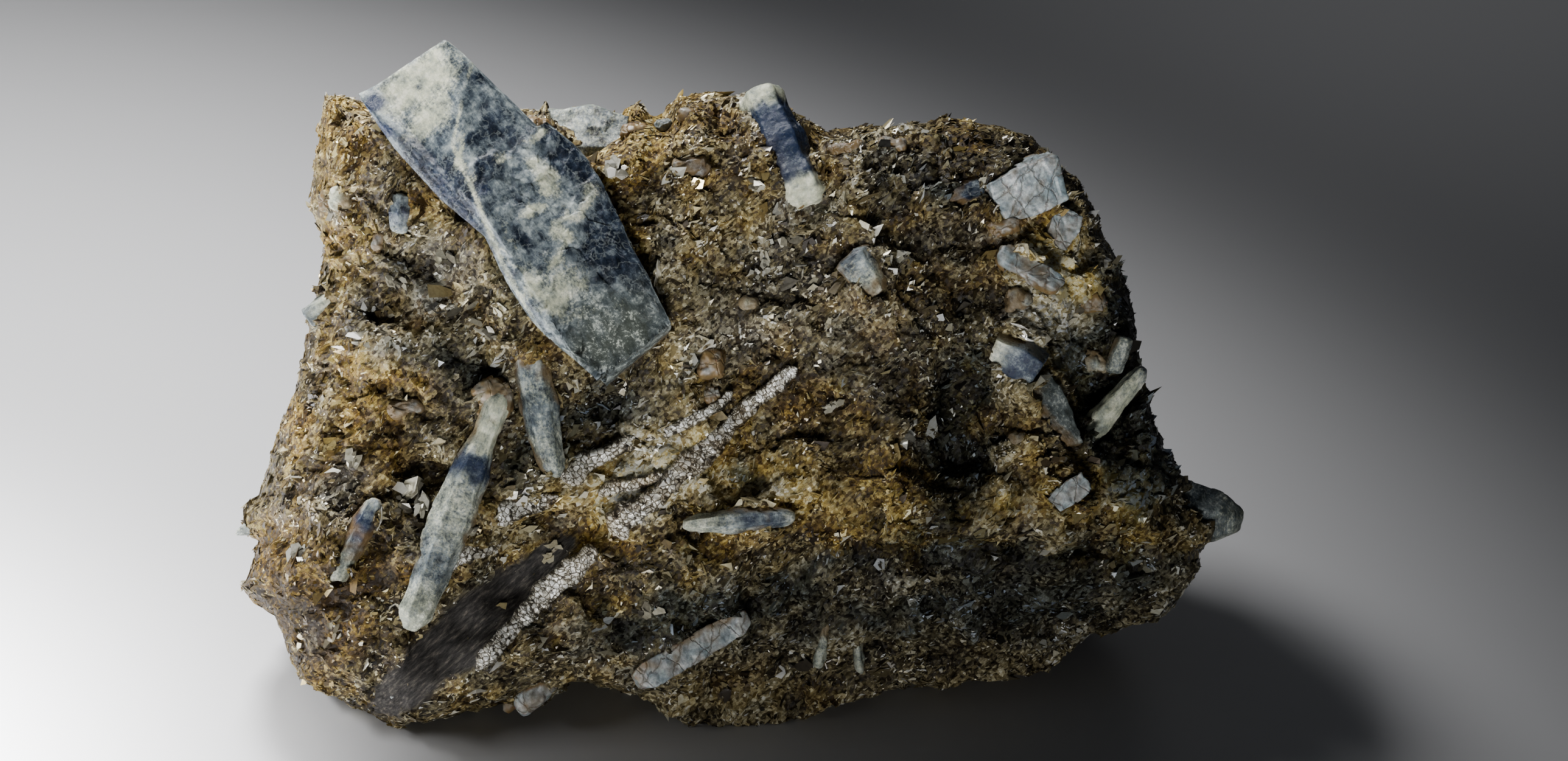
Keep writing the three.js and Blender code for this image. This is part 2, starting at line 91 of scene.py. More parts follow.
def outline_reach(dx, dy):
    """How far the outline lies from the face's centre along each direction, in lengths of that direction:
    the crossing of the direction's ray with whichever straight stretch of the outline it meets."""
    a, edge = OUTLINE - FACE_CENTRE, np.roll(OUTLINE, -1, 0) - OUTLINE
    dx, dy = np.asarray(dx)[..., None], np.asarray(dy)[..., None]
    cross = dx * edge[:, 1] - dy * edge[:, 0]
    cross = np.where(np.abs(cross) < 1e-9, 1e-9, cross)
    reach = (a[:, 0] * edge[:, 1] - a[:, 1] * edge[:, 0]) / cross
    share = (a[:, 0] * dy - a[:, 1] * dx) / cross
    met = (reach > 0) & (share > -1e-6) & (share < 1 + 1e-6)
    return np.where(met, reach, 1e3).min(-1)


def swell_at(radius, shoulder):
    """Share of the swell at a share of the radius: full in the middle, a quarter of an ellipse over the
    shoulder."""
    over = np.clip((radius - 1 + shoulder) / shoulder, 0, 1)
    return np.sqrt(1 - over ** 2)


def along_across(x, y, bearing):
    """How far points lie along and across a bearing in degrees, counterclockwise from the right."""
    c, s = np.cos(np.radians(bearing)), np.sin(np.radians(bearing))
    return x * c + y * s, y * c - x * s


def patches(x, y, table):
    """Sum over a table of patches of rise times e to the minus squared distance, in the patch's own long
    and wide directions."""
    total = np.zeros(np.shape(x))
    for cx, cy, length, width, turn, rise in table:
        along, across = along_across(x - cx, y - cy, turn)
        total += rise * np.exp(-(along / length) ** 2 - (across / width) ** 2)
    return total


def ledge_line(x):
    """Height of the ledge's lip: level on the right, and falling away to the left."""
    return LEDGE_HEIGHT - LEDGE_DIP * np.maximum(0, LEDGE_END - x)


def front_depth(x, y, swell):
    """Depth of the front: the rim's depth plus the swell times the lower of the face and the undercut, with
    the corner between those two rounded."""
    relief = patches(x, y, FACE_RELIEF) - RIGHT_FALL * np.maximum(0, x - RIGHT_FALL_START)
    ledge = ledge_line(x)
    under = np.maximum(LEDGE_TOP - RIM_DEPTH + 0.4 * relief - UNDERCUT_SLOPE * (ledge - y), LEAST_SWELL)
    face = FRONT_SWELL + relief
    corner = 0.5 * BLEND_WIDTH * np.exp(-2 * np.abs(face - under) / BLEND_WIDTH)
    return RIM_DEPTH + swell * (np.minimum(face, under) - corner)


def lumps(x, y, z):
    """Broad lumps: for each wavelength, one sine wave across a turned direction times another at right
    angles."""
    total = np.zeros(np.shape(x))
    for i, (length, height) in enumerate(LUMPS):
        turn, k = GOLDEN_ANGLE * (i + 1), 2 * np.pi / length
        c, s = np.cos(turn), np.sin(turn)
        total += height * np.sin(k * (x * c + y * s) + turn + z * k * 0.6) * np.sin(
            k * (y * c - x * s) - turn + z * k * 0.8)
    return total


def surface_depth(x, y):
    """Depth of the front under points of the broad face."""
    swell = swell_at(1 / outline_reach(x - FACE_CENTRE[0], y - FACE_CENTRE[1]), FRONT_SHOULDER)
    z = front_depth(x, y, swell)
    return z + lumps(x, y, z) * (0.3 + 0.7 * swell)


def chunk_sheet(s, t, front):
    """The front or rear sheet over a square grid from -1 to 1 both ways: squares round the grid's middle
    become rings round the face's centre, so the grid's border becomes the outline, and each ring takes its
    depth from the shoulder's ellipse."""
    radius = np.maximum(np.abs(s), np.abs(t))
    wide = np.abs(s) >= np.abs(t)
    safe_s, safe_t = np.where(s == 0, 1e-9, s), np.where(t == 0, 1e-9, t)
    turn = np.where(wide, np.pi / 4 * t / safe_s, np.pi / 2 - np.pi / 4 * s / safe_t)
    side = np.where(np.where(wide, s, t) < 0, -1, 1)
    dx, dy = FACE_STRETCH * side * np.cos(turn), side * np.sin(turn)
    reach = radius * outline_reach(dx, dy)
    x, y = FACE_CENTRE[0] + dx * reach, FACE_CENTRE[1] + dy * reach
    swell = swell_at(radius, FRONT_SHOULDER if front else BACK_SHOULDER)
    z = front_depth(x, y, swell) if front else RIM_DEPTH - BACK_SWELL * swell
    return np.stack([x, y, z + lumps(x, y, z) * (0.3 + 0.7 * swell if front else 0.3 - 2 * swell)], -1)


def grid_faces(rows, columns):
    """Four-sided faces of a grid of points numbered along its rows."""
    i = np.arange(rows * columns).reshape(rows, columns)
    return np.stack([i[:-1, :-1], i[:-1, 1:], i[1:, 1:], i[1:, :-1]], -1).reshape(-1, 4)


def outward(points, faces):
    """Unit normal at each point: the sum of the cross products of the diagonals of the faces round it."""
    a = points[faces[:, 2]] - points[faces[:, 0]]
    b = points[faces[:, -1]] - points[faces[:, 1]]
    normal, total = np.cross(a, b), np.zeros_like(points)
    for corner in range(faces.shape[1]):
        np.add.at(total, faces[:, corner], normal)
    return total / np.maximum(np.linalg.norm(total, axis=1, keepdims=True), 1e-12)


def hashed(cells, seed):
    """A repeatable number from 0 to 1 for each whole-number cell: its numbers times large odd ones, folded
    together by exclusive or and spread by a multiply."""
    c = cells.astype(np.int64)
    mixed = c[..., 0] * 73856093 ^ c[..., 1] * 19349663 ^ c[..., 2] * 83492791 ^ seed * 26544357
    mixed = (mixed ^ mixed >> 13) * 1274126177
    return ((mixed ^ mixed >> 16) & 0xFFFFFF) / float(0xFFFFFF)


def cloud(points, size, seed, octaves=3):
    """Smooth noise from about -1 to 1: random heights at the corners of a cube grid, eased between them,
    plus finer copies at half the size and half the strength."""
    total, strength = np.zeros(points.shape[:-1]), 1.0
    for octave in range(octaves):
        p = points / size * 2 ** octave + 17.3 * octave
        cell = np.floor(p)
        f = p - cell
        f = f * f * (3 - 2 * f)
        height = 0
        for corner in np.ndindex(2, 2, 2):
            weight = np.prod(np.where(np.array(corner) == 1, f, 1 - f), axis=-1)
            height = height + weight * hashed(cell + np.array(corner), seed + octave)
        total += strength * (2 * height - 1)
        strength *= 0.5
    return total * 1.3


def crazed(points, size, seed):
    """Broken-stone noise. Seeds are scattered one to a cube cell; each point takes the nearest. Gives the
    nearest seed's random number, the step from it to the point, and how much farther the next seed is."""
    p = points / size
    cell = np.floor(p)
    nearest, second = np.full(len(p), 9.0), np.full(len(p), 9.0)
    number, step = np.zeros(len(p)), np.zeros_like(p)
    for offset in np.ndindex(3, 3, 3):
        home = cell + np.array(offset) - 1
        seat = home + np.stack([hashed(home, seed + k) for k in (1, 2, 3)], -1)
        gap = np.linalg.norm(p - seat, axis=1)
        closer = gap < nearest
        second = np.where(closer, nearest, np.minimum(second, gap))
        step[closer] = (p - seat)[closer]
        number[closer] = hashed(home, seed + 4)[closer]
        nearest = np.where(closer, gap, nearest)
    return number, step * size, (second - nearest) * size


def stones(points, size, rise, tilt, seed):
    """Relief of broken-stone noise: every stone has its own height and leans its own way."""
    number, step, _ = crazed(points, size, seed)
    lean = np.stack([hashed((number * 1e6)[:, None] * np.ones(3), seed + k) for k in (5, 6, 7)], -1) - 0.5
    return rise * (number - 0.5) + 2 * tilt * (lean * step).sum(1)


def crags(points, normals):
    """How far the broken surface stands off the smooth chunk: stones of three sizes, each with its own
    height and its own tilt, and fine grit. All of it is calmer where the surface turns away from the
    face."""
    total = np.zeros(len(points))
    for stone in STONES:
        total += stones(points, *stone)
    calm = 0.5 + 0.5 * np.clip(np.abs(normals[:, 2]) * 1.6, 0, 1)
    return (total + 0.07 * cloud(points, 0.6, 51, 2)) * calm


def node_corners(name):
    """Corners of a CAD node's triangles in the leaning frame, three to a triangle."""
    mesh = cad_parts[name].data
    mesh.calc_loop_triangles()
    corner = np.zeros(len(mesh.loop_triangles) * 3, np.int32)
    spot = np.zeros(len(mesh.vertices) * 3, np.float32)
    mesh.loop_triangles.foreach_get("vertices", corner)
    mesh.vertices.foreach_get("co", spot)
    return leaned(spot.reshape(-1, 3).astype(float))[corner].reshape(-1, 3, 3)


def crystal_planes(triangles, middle):
    """Outward unit normals and distances of a convex crystal's faces from its middle, each face once."""
    normal = np.cross(triangles[:, 1] - triangles[:, 0], triangles[:, 2] - triangles[:, 0])
    area = np.linalg.norm(normal, axis=1)
    normal, triangles = normal[area > 1e-4] / area[area > 1e-4, None], triangles[area > 1e-4]
    distance = (normal * (triangles[:, 0] - middle)).sum(1)
    key = np.unique(np.round(np.column_stack([normal, distance]), 2), axis=0, return_index=True)[1]
    return normal[key], distance[key]


crystal_solids = {}
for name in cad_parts:
    if not name.startswith(("schist", "mica_book")):
        triangles = node_corners(name)
        middle = triangles.reshape(-1, 3).mean(0)
        crystal_solids[name] = (*crystal_planes(triangles, middle), middle)


def outside(points, name):
    """Rough distance of points outside a crystal's faces, below zero inside it."""
    normal, distance, middle = crystal_solids[name]
    return ((points - middle) @ normal.T - distance).max(1)


def piece(name, points, faces, smooth=False, **fields):
    """A mesh object of points in the leaning frame and faces of equal corner count, with a number or a
    vector on every point for each field."""
    mesh = bpy.data.meshes.new(name)
    points, faces = points.reshape(-1, 3), faces.reshape(-1, faces.shape[-1])
    mesh.vertices.add(len(points))
    mesh.vertices.foreach_set("co", stood_up(points).astype(np.float32).ravel())
    mesh.loops.add(faces.size)
    mesh.loops.foreach_set("vertex_index", faces.astype(np.int32).ravel())
    mesh.polygons.add(len(faces))
    mesh.polygons.foreach_set("loop_start", np.arange(0, faces.size, faces.shape[-1], dtype=np.int32))
    mesh.update(calc_edges=True)
    mesh.polygons.foreach_set("use_smooth", np.full(len(faces), smooth))
    for field, values in fields.items():
        vector = values.ndim > 1
        layer = mesh.attributes.new(field, "FLOAT_VECTOR" if vector else "FLOAT", "POINT")
        layer.data.foreach_set("vector" if vector else "value", values.astype(np.float32).ravel())
    made = bpy.data.objects.new(name, mesh)
    bpy.context.collection.objects.link(made)
    return made


side = np.linspace(-1, 1, CHUNK_STEPS + 1)
grid_t, grid_s = np.meshgrid(side, side, indexing="ij")
front_sheet = chunk_sheet(grid_s, grid_t, True).reshape(-1, 3)
rear_sheet = chunk_sheet(grid_s, grid_t, False).reshape(-1, 3)
sheet_faces = grid_faces(len(side), len(side))
on_border = (np.maximum(np.abs(grid_s), np.abs(grid_t)) > 1 - 1e-9).ravel()
rear_number = np.where(on_border, np.arange(on_border.size), np.cumsum(~on_border) - 1 + on_border.size)
rock_points = np.concatenate([front_sheet, rear_sheet[~on_border]])
rock_faces = np.concatenate([sheet_faces, rear_number[sheet_faces][:, ::-1]])
# Where the broken skin is heaped up or falls away, against the large crystal, on the top edge, in the
# valley and at the ledge: right, up, half length, half width, turn, rise.
HEAPS = [
    (-15.6, 8.6, 2.0, 1.0, -50, 2.2), (-13.9, 5.0, 1.2, 0.9, -60, 1.2), (-12.6, 2.4, 1.0, 0.8, -60, 0.8),
    (-9.0, 15.8, 2.3, 0.9, 0, -1.6), (13.6, -1.5, 4.5, 1.3, 85, -0.9), (17.8, 6.2, 1.6, 0.7, -50, -0.7),
    (-5.8, 16.4, 1.1, 0.8, 0, 0.7), (-2.3, 17.2, 1.2, 0.8, 0, 0.8), (15, -8.5, 9, 0.5, 0, 0.5),
    (26, -8.9, 3, 0.5, -6, 0.4), (15, -10.0, 10, 0.6, 0, -0.9), (4.2, -11.2, 2.6, 0.6, 38, -0.8),
    (-3, -14.4, 5, 0.6, 14, -0.5)]
# The smooth cleavage face of one big mica sheet, dark brown and bare of flakes, lies along the grain: how
# far along, and its half width there.
BARE_STRIP = np.array([
    (-30.8, -0.5), (-28.6, 1.3), (-24, 1.9), (-20, 1.75), (-15, 1.0), (-12.3, 0.1), (-11.5, -1)])
# How far the rock banks up round the crystals; the others stand in a bank of USUAL_BANK.
USUAL_BANK = 0.6
BANKS = {"large_sapphire": 0.25, "blue_sapphire_top": 0.3, "feldspar_block_large": 0.35,
         "long_rod_lower_left": 0.5, "rod_under_large_sapphire": 0.4}
normals = outward(rock_points, rock_faces)


def bareness(points):
    """How bare of flakes the face is: 1 on the strip of the big mica sheet, falling to 0 within half a
    millimetre past its ragged edge."""
    along, across = along_across(points[:, 0], points[:, 1], GRAIN_BEARING)
    half = np.interp(along, BARE_STRIP[:, 0], BARE_STRIP[:, 1])
    inside = half - np.abs(across + 0.1) + 0.3 * cloud(points, 1.2, 171, 2)
    return np.clip(inside / 0.35 + 0.5, 0, 1) * (points[:, 2] > RIM_DEPTH)


bare_face = bareness(rock_points)
raised = crags(rock_points, normals) * (1 - 0.85 * bare_face * (normals[:, 2] > 0))
# Painted light and shade by height: raised stones are coloured lighter and hollows darker.
rock_ridge = np.clip(raised / 0.5, -1, 1)
for name in crystal_solids:
    gap = outside(rock_points, name)
    bank = BANKS.get(name, USUAL_BANK) * np.exp(-(np.clip(gap, 0, 3) / 0.7) ** 2)
    bank = bank * np.clip(1 + gap / 0.4, 0, 1)
    raised += bank * (0.85 + 1.2 * cloud(rock_points, 0.9, 61, 2))
    raised = np.where(gap < 0, np.minimum(raised, -0.8 * gap), raised)
raised += patches(rock_points[:, 0], rock_points[:, 1], HEAPS) * (normals[:, 2] > 0)
rock_points = rock_points + normals * raised[:, None]
rock_normals = outward(rock_points, rock_faces)

# Stains and mixtures on the face: right, up, half length, half width, turn, strength.
RUST = [
    (-24.4, 15.5, 2.6, 2.6, 0, 0.9), (-24, 9, 2.4, 2.4, 80, 0.8), (-24.5, 3, 2.2, 3, 0, 0.4),
    (-5.6, 16, 1.6, 1.4, 0, 1.2), (-2.4, 16.6, 1.8, 1.2, 0, 1.1), (-6.4, 14.4, 1.9, 1.5, 0, 1.5),
    (-5.5, 9.5, 0.8, 1.8, 30, 0.8), (-9.6, 15.4, 1.2, 1, 0, 0.8), (20.6, 8.4, 2.6, 0.9, -38, 1.3),
    (16.4, 7.6, 0.8, 1.6, 0, 0.9), (22.4, 5.8, 0.8, 1.4, 0, 0.9), (20.5, -6, 2.6, 1.4, 20, 0.9),
    (7, -8.4, 4, 1.0, -4, 1), (2, -4.8, 3, 1.0, 25, 0.8), (-27.5, -12.5, 3, 2, -40, 0.8),
    (-26, -15.8, 2.2, 1.4, -30, 0.9), (-10.6, -9.0, 2.4, 0.9, 25, 1.1), (-8.6, -8.4, 1, 1, 0, 1.2),
    (-20, 0.6, 3, 1.2, -15, 0.6), (17.5, -7.5, 3, 1.2, 10, 0.8), (-25.5, -2.5, 2.4, 2.4, 0, 0.6),
    (-4.5, -9.6, 4, 1.2, 8, 0.9), (1.0, -1.0, 0.6, 2.4, -15, 0.9), (11, -9, 4, 0.8, 0, 0.8),
    (5.6, -0.6, 2.4, 1.4, 0, 0.6), (9, -5, 3, 1.6, 20, 0.5), (-12.8, -10.6, 1.6, 0.5, 40, 0.6),
    (24, -9.5, 3, 1.2, 20, 0.4), (2.0, -19, 6, 1.2, 0, 0.35), (-8, -13, 4, 1, 25, 0.35),
    (0.5, 12.5, 1.4, 1.4, 0, 0.2), (19.2, 8.8, 2.2, 1.3, -20, 1.2), (24.8, -6.6, 2.2, 1.8, 0, 0.9),
    (-5, -5.2, 5, 2.2, 20, 0.6), (20.4, 8.4, 3, 2, -30, 0.9), (8, -6.5, 5, 1.6, -4, 0.6),
    (-24, -12, 4, 3.4, 0, 0.5), (-23.5, -3.5, 3, 2.4, 0, 0.6), (-28.8, -9.6, 1.6, 2, 0, 1.0),
    (-27.7, -14.9, 2, 2, 0, 0.7), (13.5, 15.6, 3, 0.7, 0, 0.4), (-25.5, -12.5, 5, 4, -30, 0.6)]
PALE = [
    (-17.4, 6.8, 2.6, 1.6, -45, 0.7), (-18.5, 4.8, 2.4, 1.6, -10, 0.5), (-24.2, -5.4, 2.4, 1.6, 0, 0.6),
    (5.4, 11.6, 1.9, 0.9, 25, 1), (0.9, 17.8, 1.4, 0.8, -10, 0.9), (2.6, 11.2, 1, 0.6, 0, 0.6),
    (-1, 1.8, 0.9, 1.1, 0, 0.9), (-1.2, -0.4, 0.6, 1, 0, 0.6), (10.2, 15.2, 1, 0.6, 0, 0.8),
    (17.3, 10.0, 1.4, 0.6, 10, 0.8), (-14.4, -0.2, 1.4, 1.3, 10, 0.9), (18, -6.8, 1, 1.2, 0, 0.6),
    (-9.5, -7.4, 2, 0.6, 20, 0.4), (-17.5, -10.2, 1.2, 0.5, 55, 0.4), (-24.3, 11.9, 1, 0.8, 0, 0.7),
    (4, 8.6, 4, 3, 0, 0.35), (8, 3, 4, 3, 20, 0.3), (14, 9.6, 3, 2, -30, 0.25),
    (-5.6, -8, 1.6, 0.5, 40, 0.3), (18, 5.4, 1.4, 0.9, 0, 0.9), (-25.4, -15, 0.8, 1.6, 0, 0.6),
    (11, -2.8, 0.7, 0.8, 0, 0.9), (-21.5, 2.9, 1.6, 0.5, -15, 0.8), (0.6, 3.6, 3.4, 2.6, 0, 0.45),
    (-6.5, -5.2, 3, 0.8, 20, 0.4), (9.8, -12.1, 1.6, 0.7, 30, 0.8), (-10.5, -15.4, 2.6, 1.0, -15, 0.5),
    (-8, -17, 2.6, 0.8, 0, 0.4)]
# Painted shade, with some dark mica: the hollows and cracks, the undercut and the shadow line below the
# ledge's lip, the shade under the large crystal and the right side turned from the lamp.
SHADE_AND_DARK_MICA = [
    (14.5, -1.5, 5.5, 1.8, 85, 1), (22.4, 1.2, 3.8, 1.6, -70, 1.5), (25, 3, 2, 7.5, 0, 1.6),
    (23.0, -0.8, 1.4, 1.6, 0, 1.5), (26.5, -4, 3, 3.4, -60, 1.1), (-8.5, -1.6, 4, 1.3, 20, 1),
    (14.3, 12.3, 2.0, 1.2, -20, 0.8), (-1.9, 1.0, 0.35, 2.8, 0, 0.9), (-4.6, 10.6, 0.9, 2.6, 35, 0.5),
    (10, -13.8, 13, 2.8, 0, 0.9), (25, -11.5, 5, 2, 0, 0.7), (-9.5, -4.2, 2.4, 0.7, 20, 0.8),
    (12.4, 5, 1.4, 4, -25, 0.35), (-13.2, -4.2, 0.7, 2.4, 0, 0.7), (-6, -15, 5, 1.6, 25, 0.5),
    (1, -5.4, 1.0, 0.8, 0, 0.9), (17.4, 7.2, 0.7, 1.8, 20, 0.8), (-20, 8.2, 1.6, 1.6, 0, 0.3),
    (-19.5, -16.5, 6, 1.6, 40, 0.3), (-16.8, 1.8, 2.4, 1.3, -20, 0.9), (-22.8, 6.5, 1.6, 3.5, 0, 0.3),
    (9.5, 0.5, 4, 2.6, 0, 0.4), (9.5, -8.2, 5.5, 0.9, 0, 0.35), (0, -19.5, 6, 1.6, 0, 0.4),
    (-4, -13.5, 5, 2, 0, 0.35), (19, -13, 5, 2.2, 0, 0.7), (12, 13.5, 3, 2, 0, 0.4), (20, -8, 3, 1, 0, 0.3),
    (-25.5, -14, 5, 4, 20, 0.45), (13.7, -2.4, 2.2, 5.8, 0, 0.5), (16, -10.2, 10, 0.9, 0, 1.0),
    (4.2, -11.6, 3, 0.7, 38, 0.8), (-3, -14.8, 5, 0.7, 14, 0.6), (12.5, 14, 6.5, 2.8, 0, 0.3)]
# Where the mica as a whole is lighter or darker: partly its own tone, partly painted light on the middle
# and right of the face, where the key lamp only grazes it, and painted shade low on the left, which the low
# lamps light strongly.
LIGHTER = [
    (-5, -5.2, 5, 2.2, 20, 0.56), (-5.5, -14.5, 4.5, 2.2, 20, 0.12), (3.5, -6.3, 4.5, 1.6, -4, 0.28),
    (0.6, 3.6, 4, 3, 0, 0.06), (20, 6, 3, 5, 0, 0.36), (-26, -14, 5, 5, 0, -0.30),
    (-27, 0, 3.5, 5, 0, -0.14), (-14, -12.6, 7, 1.6, 42, -0.08), (21.6, 8.6, 3, 2.4, 0, 0.12),
    (5, 12, 5, 2.4, -20, 0.04), (9, 4, 5, 3, 0, -0.03), (-19, 4, 3, 2, -20, 0.06), (21, 14, 4, 3, 0, -0.10),
    (12.5, 13.4, 6.5, 3.2, 0, -0.08), (16, 9, 3, 4, 0, -0.10), (12, 1, 3.5, 6, 0, -0.12),
    (2, -14, 9, 3, 0, 0.04), (20.0, 8.6, 2.6, 1.3, -30, 0.3), (17.4, -6.6, 2.2, 1.8, 0, 0.28),
    (24.8, -6.6, 2.4, 2.0, 0, 0.34), (1, -19.6, 4, 1, 0, 0.14), (0, 10.5, 2.4, 1.8, 0, 0.24)]
# Patches where the mica's grain swings from its bearing, by so many degrees counterclockwise.
SWING = [
    (-24, -8, 6, 6, 0, 16), (8, -15, 15, 4, 0, -30), (14.5, 0, 3.4, 6, 0, 34), (20, 5, 4, 7, 0, -70),
    (-22, 8, 5, 7, 0, -55), (8, 11, 5, 4, 0, 10)]


def stain(points, table, seed, fray=0.45, wide=0.0):
    """Strength from 0 to 1 of one of the stains, or of the painted shade: its patches, with the points
    shifted by cloud noise so that the edges fray, and a wide cloudy share of its own, which is weaker under
    the ledge, so that the shade there is painted cooler, with less rust; past the rim they fade to a faint
    cloud on the rear."""
    warp = 0.9 * np.stack([cloud(points, 2.2, seed, 2), cloud(points, 2.2, seed + 9, 2)], -1)
    spread = patches(points[:, 0] + warp[:, 0], points[:, 1] + warp[:, 1], table)
    if wide:
        cool_shade_under_ledge = np.clip((ledge_line(points[:, 0]) - points[:, 1]) / 2, 0, 1)
        everywhere = wide * np.clip(0.3 + 0.9 * cloud(points, 1.9, seed + 11, 3), 0, 1)
        spread = spread + everywhere * (1 - cool_shade_under_ledge)
    near = np.clip((points[:, 2] + 10) / 4, 0, 1)
    rear = 0.55 * np.clip(1.6 * cloud(points, 6, seed + 3) - 0.3, 0, 1) + 0.5 * wide
    total = spread * near + rear * (1 - near) + fray * cloud(points, 1.3, seed + 5, 2) * (0.25 + spread)
    return np.clip(total, 0, 1)


def linked(tree, kind, sockets=None, **settings):
    """A shader node with its settings made, and each named or numbered input set to a value or joined to a
    socket."""
    made = tree.nodes.new(kind)
    for name, value in settings.items():
        setattr(made, name, value)
    for key, value in (sockets or {}).items():
        if isinstance(value, bpy.types.NodeSocket):
            tree.links.new(value, made.inputs[key])
        else:
            made.inputs[key].default_value = value
    return made


def maths(tree, operation, a, b=0.0, c=0.0):
    """One arithmetic step on shader values."""
    return linked(tree, "ShaderNodeMath", {0: a, 1: b, 2: c}, operation=operation).outputs[0]


def blended(tree, share, a, b, blend_type="MIX"):
    """Two colours mixed by a share."""
    made = linked(tree, "ShaderNodeMix", {0: share, 6: a, 7: b}, data_type="RGBA", blend_type=blend_type)
    return made.outputs[2]


def ramp(tree, value, stops):
    """A colour ramp over a value: stops are (place, colour)."""
    made = linked(tree, "ShaderNodeValToRGB", {0: value})
    while len(made.color_ramp.elements) < len(stops):
        made.color_ramp.elements.new(0.5)
    for element, (place, colour) in zip(made.color_ramp.elements, stops):
        element.position = place
        element.color = (*colour, 1)
    return made.outputs[0]


def noise(tree, scale, detail, roughness, vector=None):
    """Noise over the piece's own place, or over another vector."""
    place = vector or linked(tree, "ShaderNodeTexCoord").outputs["Object"]
    return linked(tree, "ShaderNodeTexNoise", {
        "Vector": place, "Scale": scale, "Detail": detail, "Roughness": roughness})


def field(tree, name, output="Fac"):
    """A number, or a vector, stored on the mesh's points."""
    return linked(tree, "ShaderNodeAttribute", attribute_name=name).outputs[output]


def held(tree, value):
    """A shader value held between 0 and 1."""
    return maths(tree, "MINIMUM", maths(tree, "MAXIMUM", value, 0.0), 1.0)


def new_group(name, inputs, outputs):
    """A shader node group with named inputs (name, kind, default) and outputs (name, kind)."""
    tree = bpy.data.node_groups.new(name, "ShaderNodeTree")
    for label, kind, start in inputs:
        tree.interface.new_socket(label, in_out="INPUT", socket_type=kind).default_value = start
    for label, kind in outputs:
        tree.interface.new_socket(label, in_out="OUTPUT", socket_type=kind)
    return tree, tree.nodes.new("NodeGroupInput").outputs, tree.nodes.new("NodeGroupOutput").inputs


def new_material(name):
    """A material with only a Principled surface in it."""
    material = bpy.data.materials.new(name)
    material.use_nodes = True
    return material, material.node_tree, material.node_tree.nodes["Principled BSDF"]


# Colour of weathered mica: dark flakes, brown and golden ones, straw and silver ones by tone; then rust,
# pale feldspar dust and painted shade, darkened and cooled blue, over them.
mica_colour, given, put = new_group(
    "mica_colour",
    [("Tone", "NodeSocketFloat", 0.5), ("Rust", "NodeSocketFloat", 0), ("Pale", "NodeSocketFloat", 0),
     ("ShadeAndDark", "NodeSocketFloat", 0)],
    [("Colour", "NodeSocketColor"), ("Roughness", "NodeSocketFloat")])
shade = ramp(mica_colour, given["Tone"], [
    (0.0, (0.011, 0.008, 0.005)), (0.24, (0.043, 0.032, 0.017)), (0.44, (0.158, 0.128, 0.062)),
    (0.60, (0.33, 0.280, 0.150)), (0.76, (0.58, 0.530, 0.35)), (0.88, (0.83, 0.79, 0.64)),
    (1.0, (0.97, 0.96, 0.90))])
golden = ramp(mica_colour, given["Tone"], [
    (0.0, (0.022, 0.011, 0.003)), (0.26, (0.098, 0.054, 0.011)), (0.46, (0.265, 0.168, 0.032)),
    (0.66, (0.51, 0.370, 0.094)), (0.84, (0.77, 0.64, 0.28)), (1.0, (0.93, 0.86, 0.58))])
shade = blended(mica_colour, given["Rust"], shade, golden)
silvery = ramp(mica_colour, given["Tone"], [
    (0.0, (0.045, 0.043, 0.036)), (0.35, (0.20, 0.195, 0.165)), (0.6, (0.50, 0.50, 0.43)),
    (0.85, (0.86, 0.86, 0.79))])
shade = blended(mica_colour, maths(mica_colour, "MULTIPLY", given["Pale"], 0.8), shade, silvery)
# Painted shade: the shaded parts are multiplied by a cool blue-grey.
shaded_dark = blended(mica_colour, 1.0, shade, (0.195, 0.24, 0.33, 1), "MULTIPLY")
shade = blended(mica_colour, given["ShadeAndDark"], shade, shaded_dark)
mica_colour.links.new(shade, put["Colour"])
mica_colour.links.new(maths(mica_colour, "MULTIPLY_ADD", given["Rust"], 0.2, 0.3), put["Roughness"])

# Glitter: every grain of mica, a cell of broken-stone pattern, tilts the surface its own way.
glitter, given, put = new_group(
    "glitter", [("Scale", "NodeSocketFloat", 4000), ("Tilt", "NodeSocketFloat", 0.8)],
    [("Normal", "NodeSocketVector"), ("Tone", "NodeSocketFloat")])
place = linked(glitter, "ShaderNodeTexCoord").outputs["Object"]
cells = linked(glitter, "ShaderNodeTexVoronoi", {"Vector": place, "Scale": given["Scale"]})
swing = linked(glitter, "ShaderNodeVectorMath", {0: cells.outputs["Color"], 1: (0.5, 0.5, 0.5)},
               operation="SUBTRACT")
swing = linked(glitter, "ShaderNodeVectorMath", {0: swing.outputs[0]}, operation="SCALE")
glitter.links.new(given["Tilt"], swing.inputs["Scale"])
flat = linked(glitter, "ShaderNodeNewGeometry").outputs["Normal"]
tilted = linked(glitter, "ShaderNodeVectorMath", {0: swing.outputs[0], 1: flat}, operation="ADD")
tilted = linked(glitter, "ShaderNodeVectorMath", {0: tilted.outputs[0]}, operation="NORMALIZE")
glitter.links.new(tilted.outputs[0], put["Normal"])
grains = linked(glitter, "ShaderNodeSeparateXYZ", {0: cells.outputs["Color"]})
glitter.links.new(grains.outputs[2], put["Tone"])


def flow_way(points):
    """Unit vector along the mica's grain in the face: its bearing plus the swings of its patches and a slow
    random swing."""
    bearing = GRAIN_BEARING + patches(points[:, 0], points[:, 1], SWING) + 14 * cloud(points, 5, 181, 2)
    bearing = np.radians(bearing)
    return np.stack([np.cos(bearing), np.sin(bearing), 0 * bearing], -1)


def along_grain(points):
    """The points turned so that the first number runs along the grain's bearing, and pressed to a fifth
    that way."""
    along, across = along_across(points[:, 0], points[:, 1], GRAIN_BEARING)
    return np.stack([0.2 * along, across, 0.5 * points[:, 2]], -1)


def stains_and_shade(points):
    """Rust, pale feldspar dust and painted shade at points of the rock."""
    return stain(points, RUST, 101, wide=0.5), stain(points, PALE, 131), stain(points, SHADE_AND_DARK_MICA, 151, 0.2, 0.4)


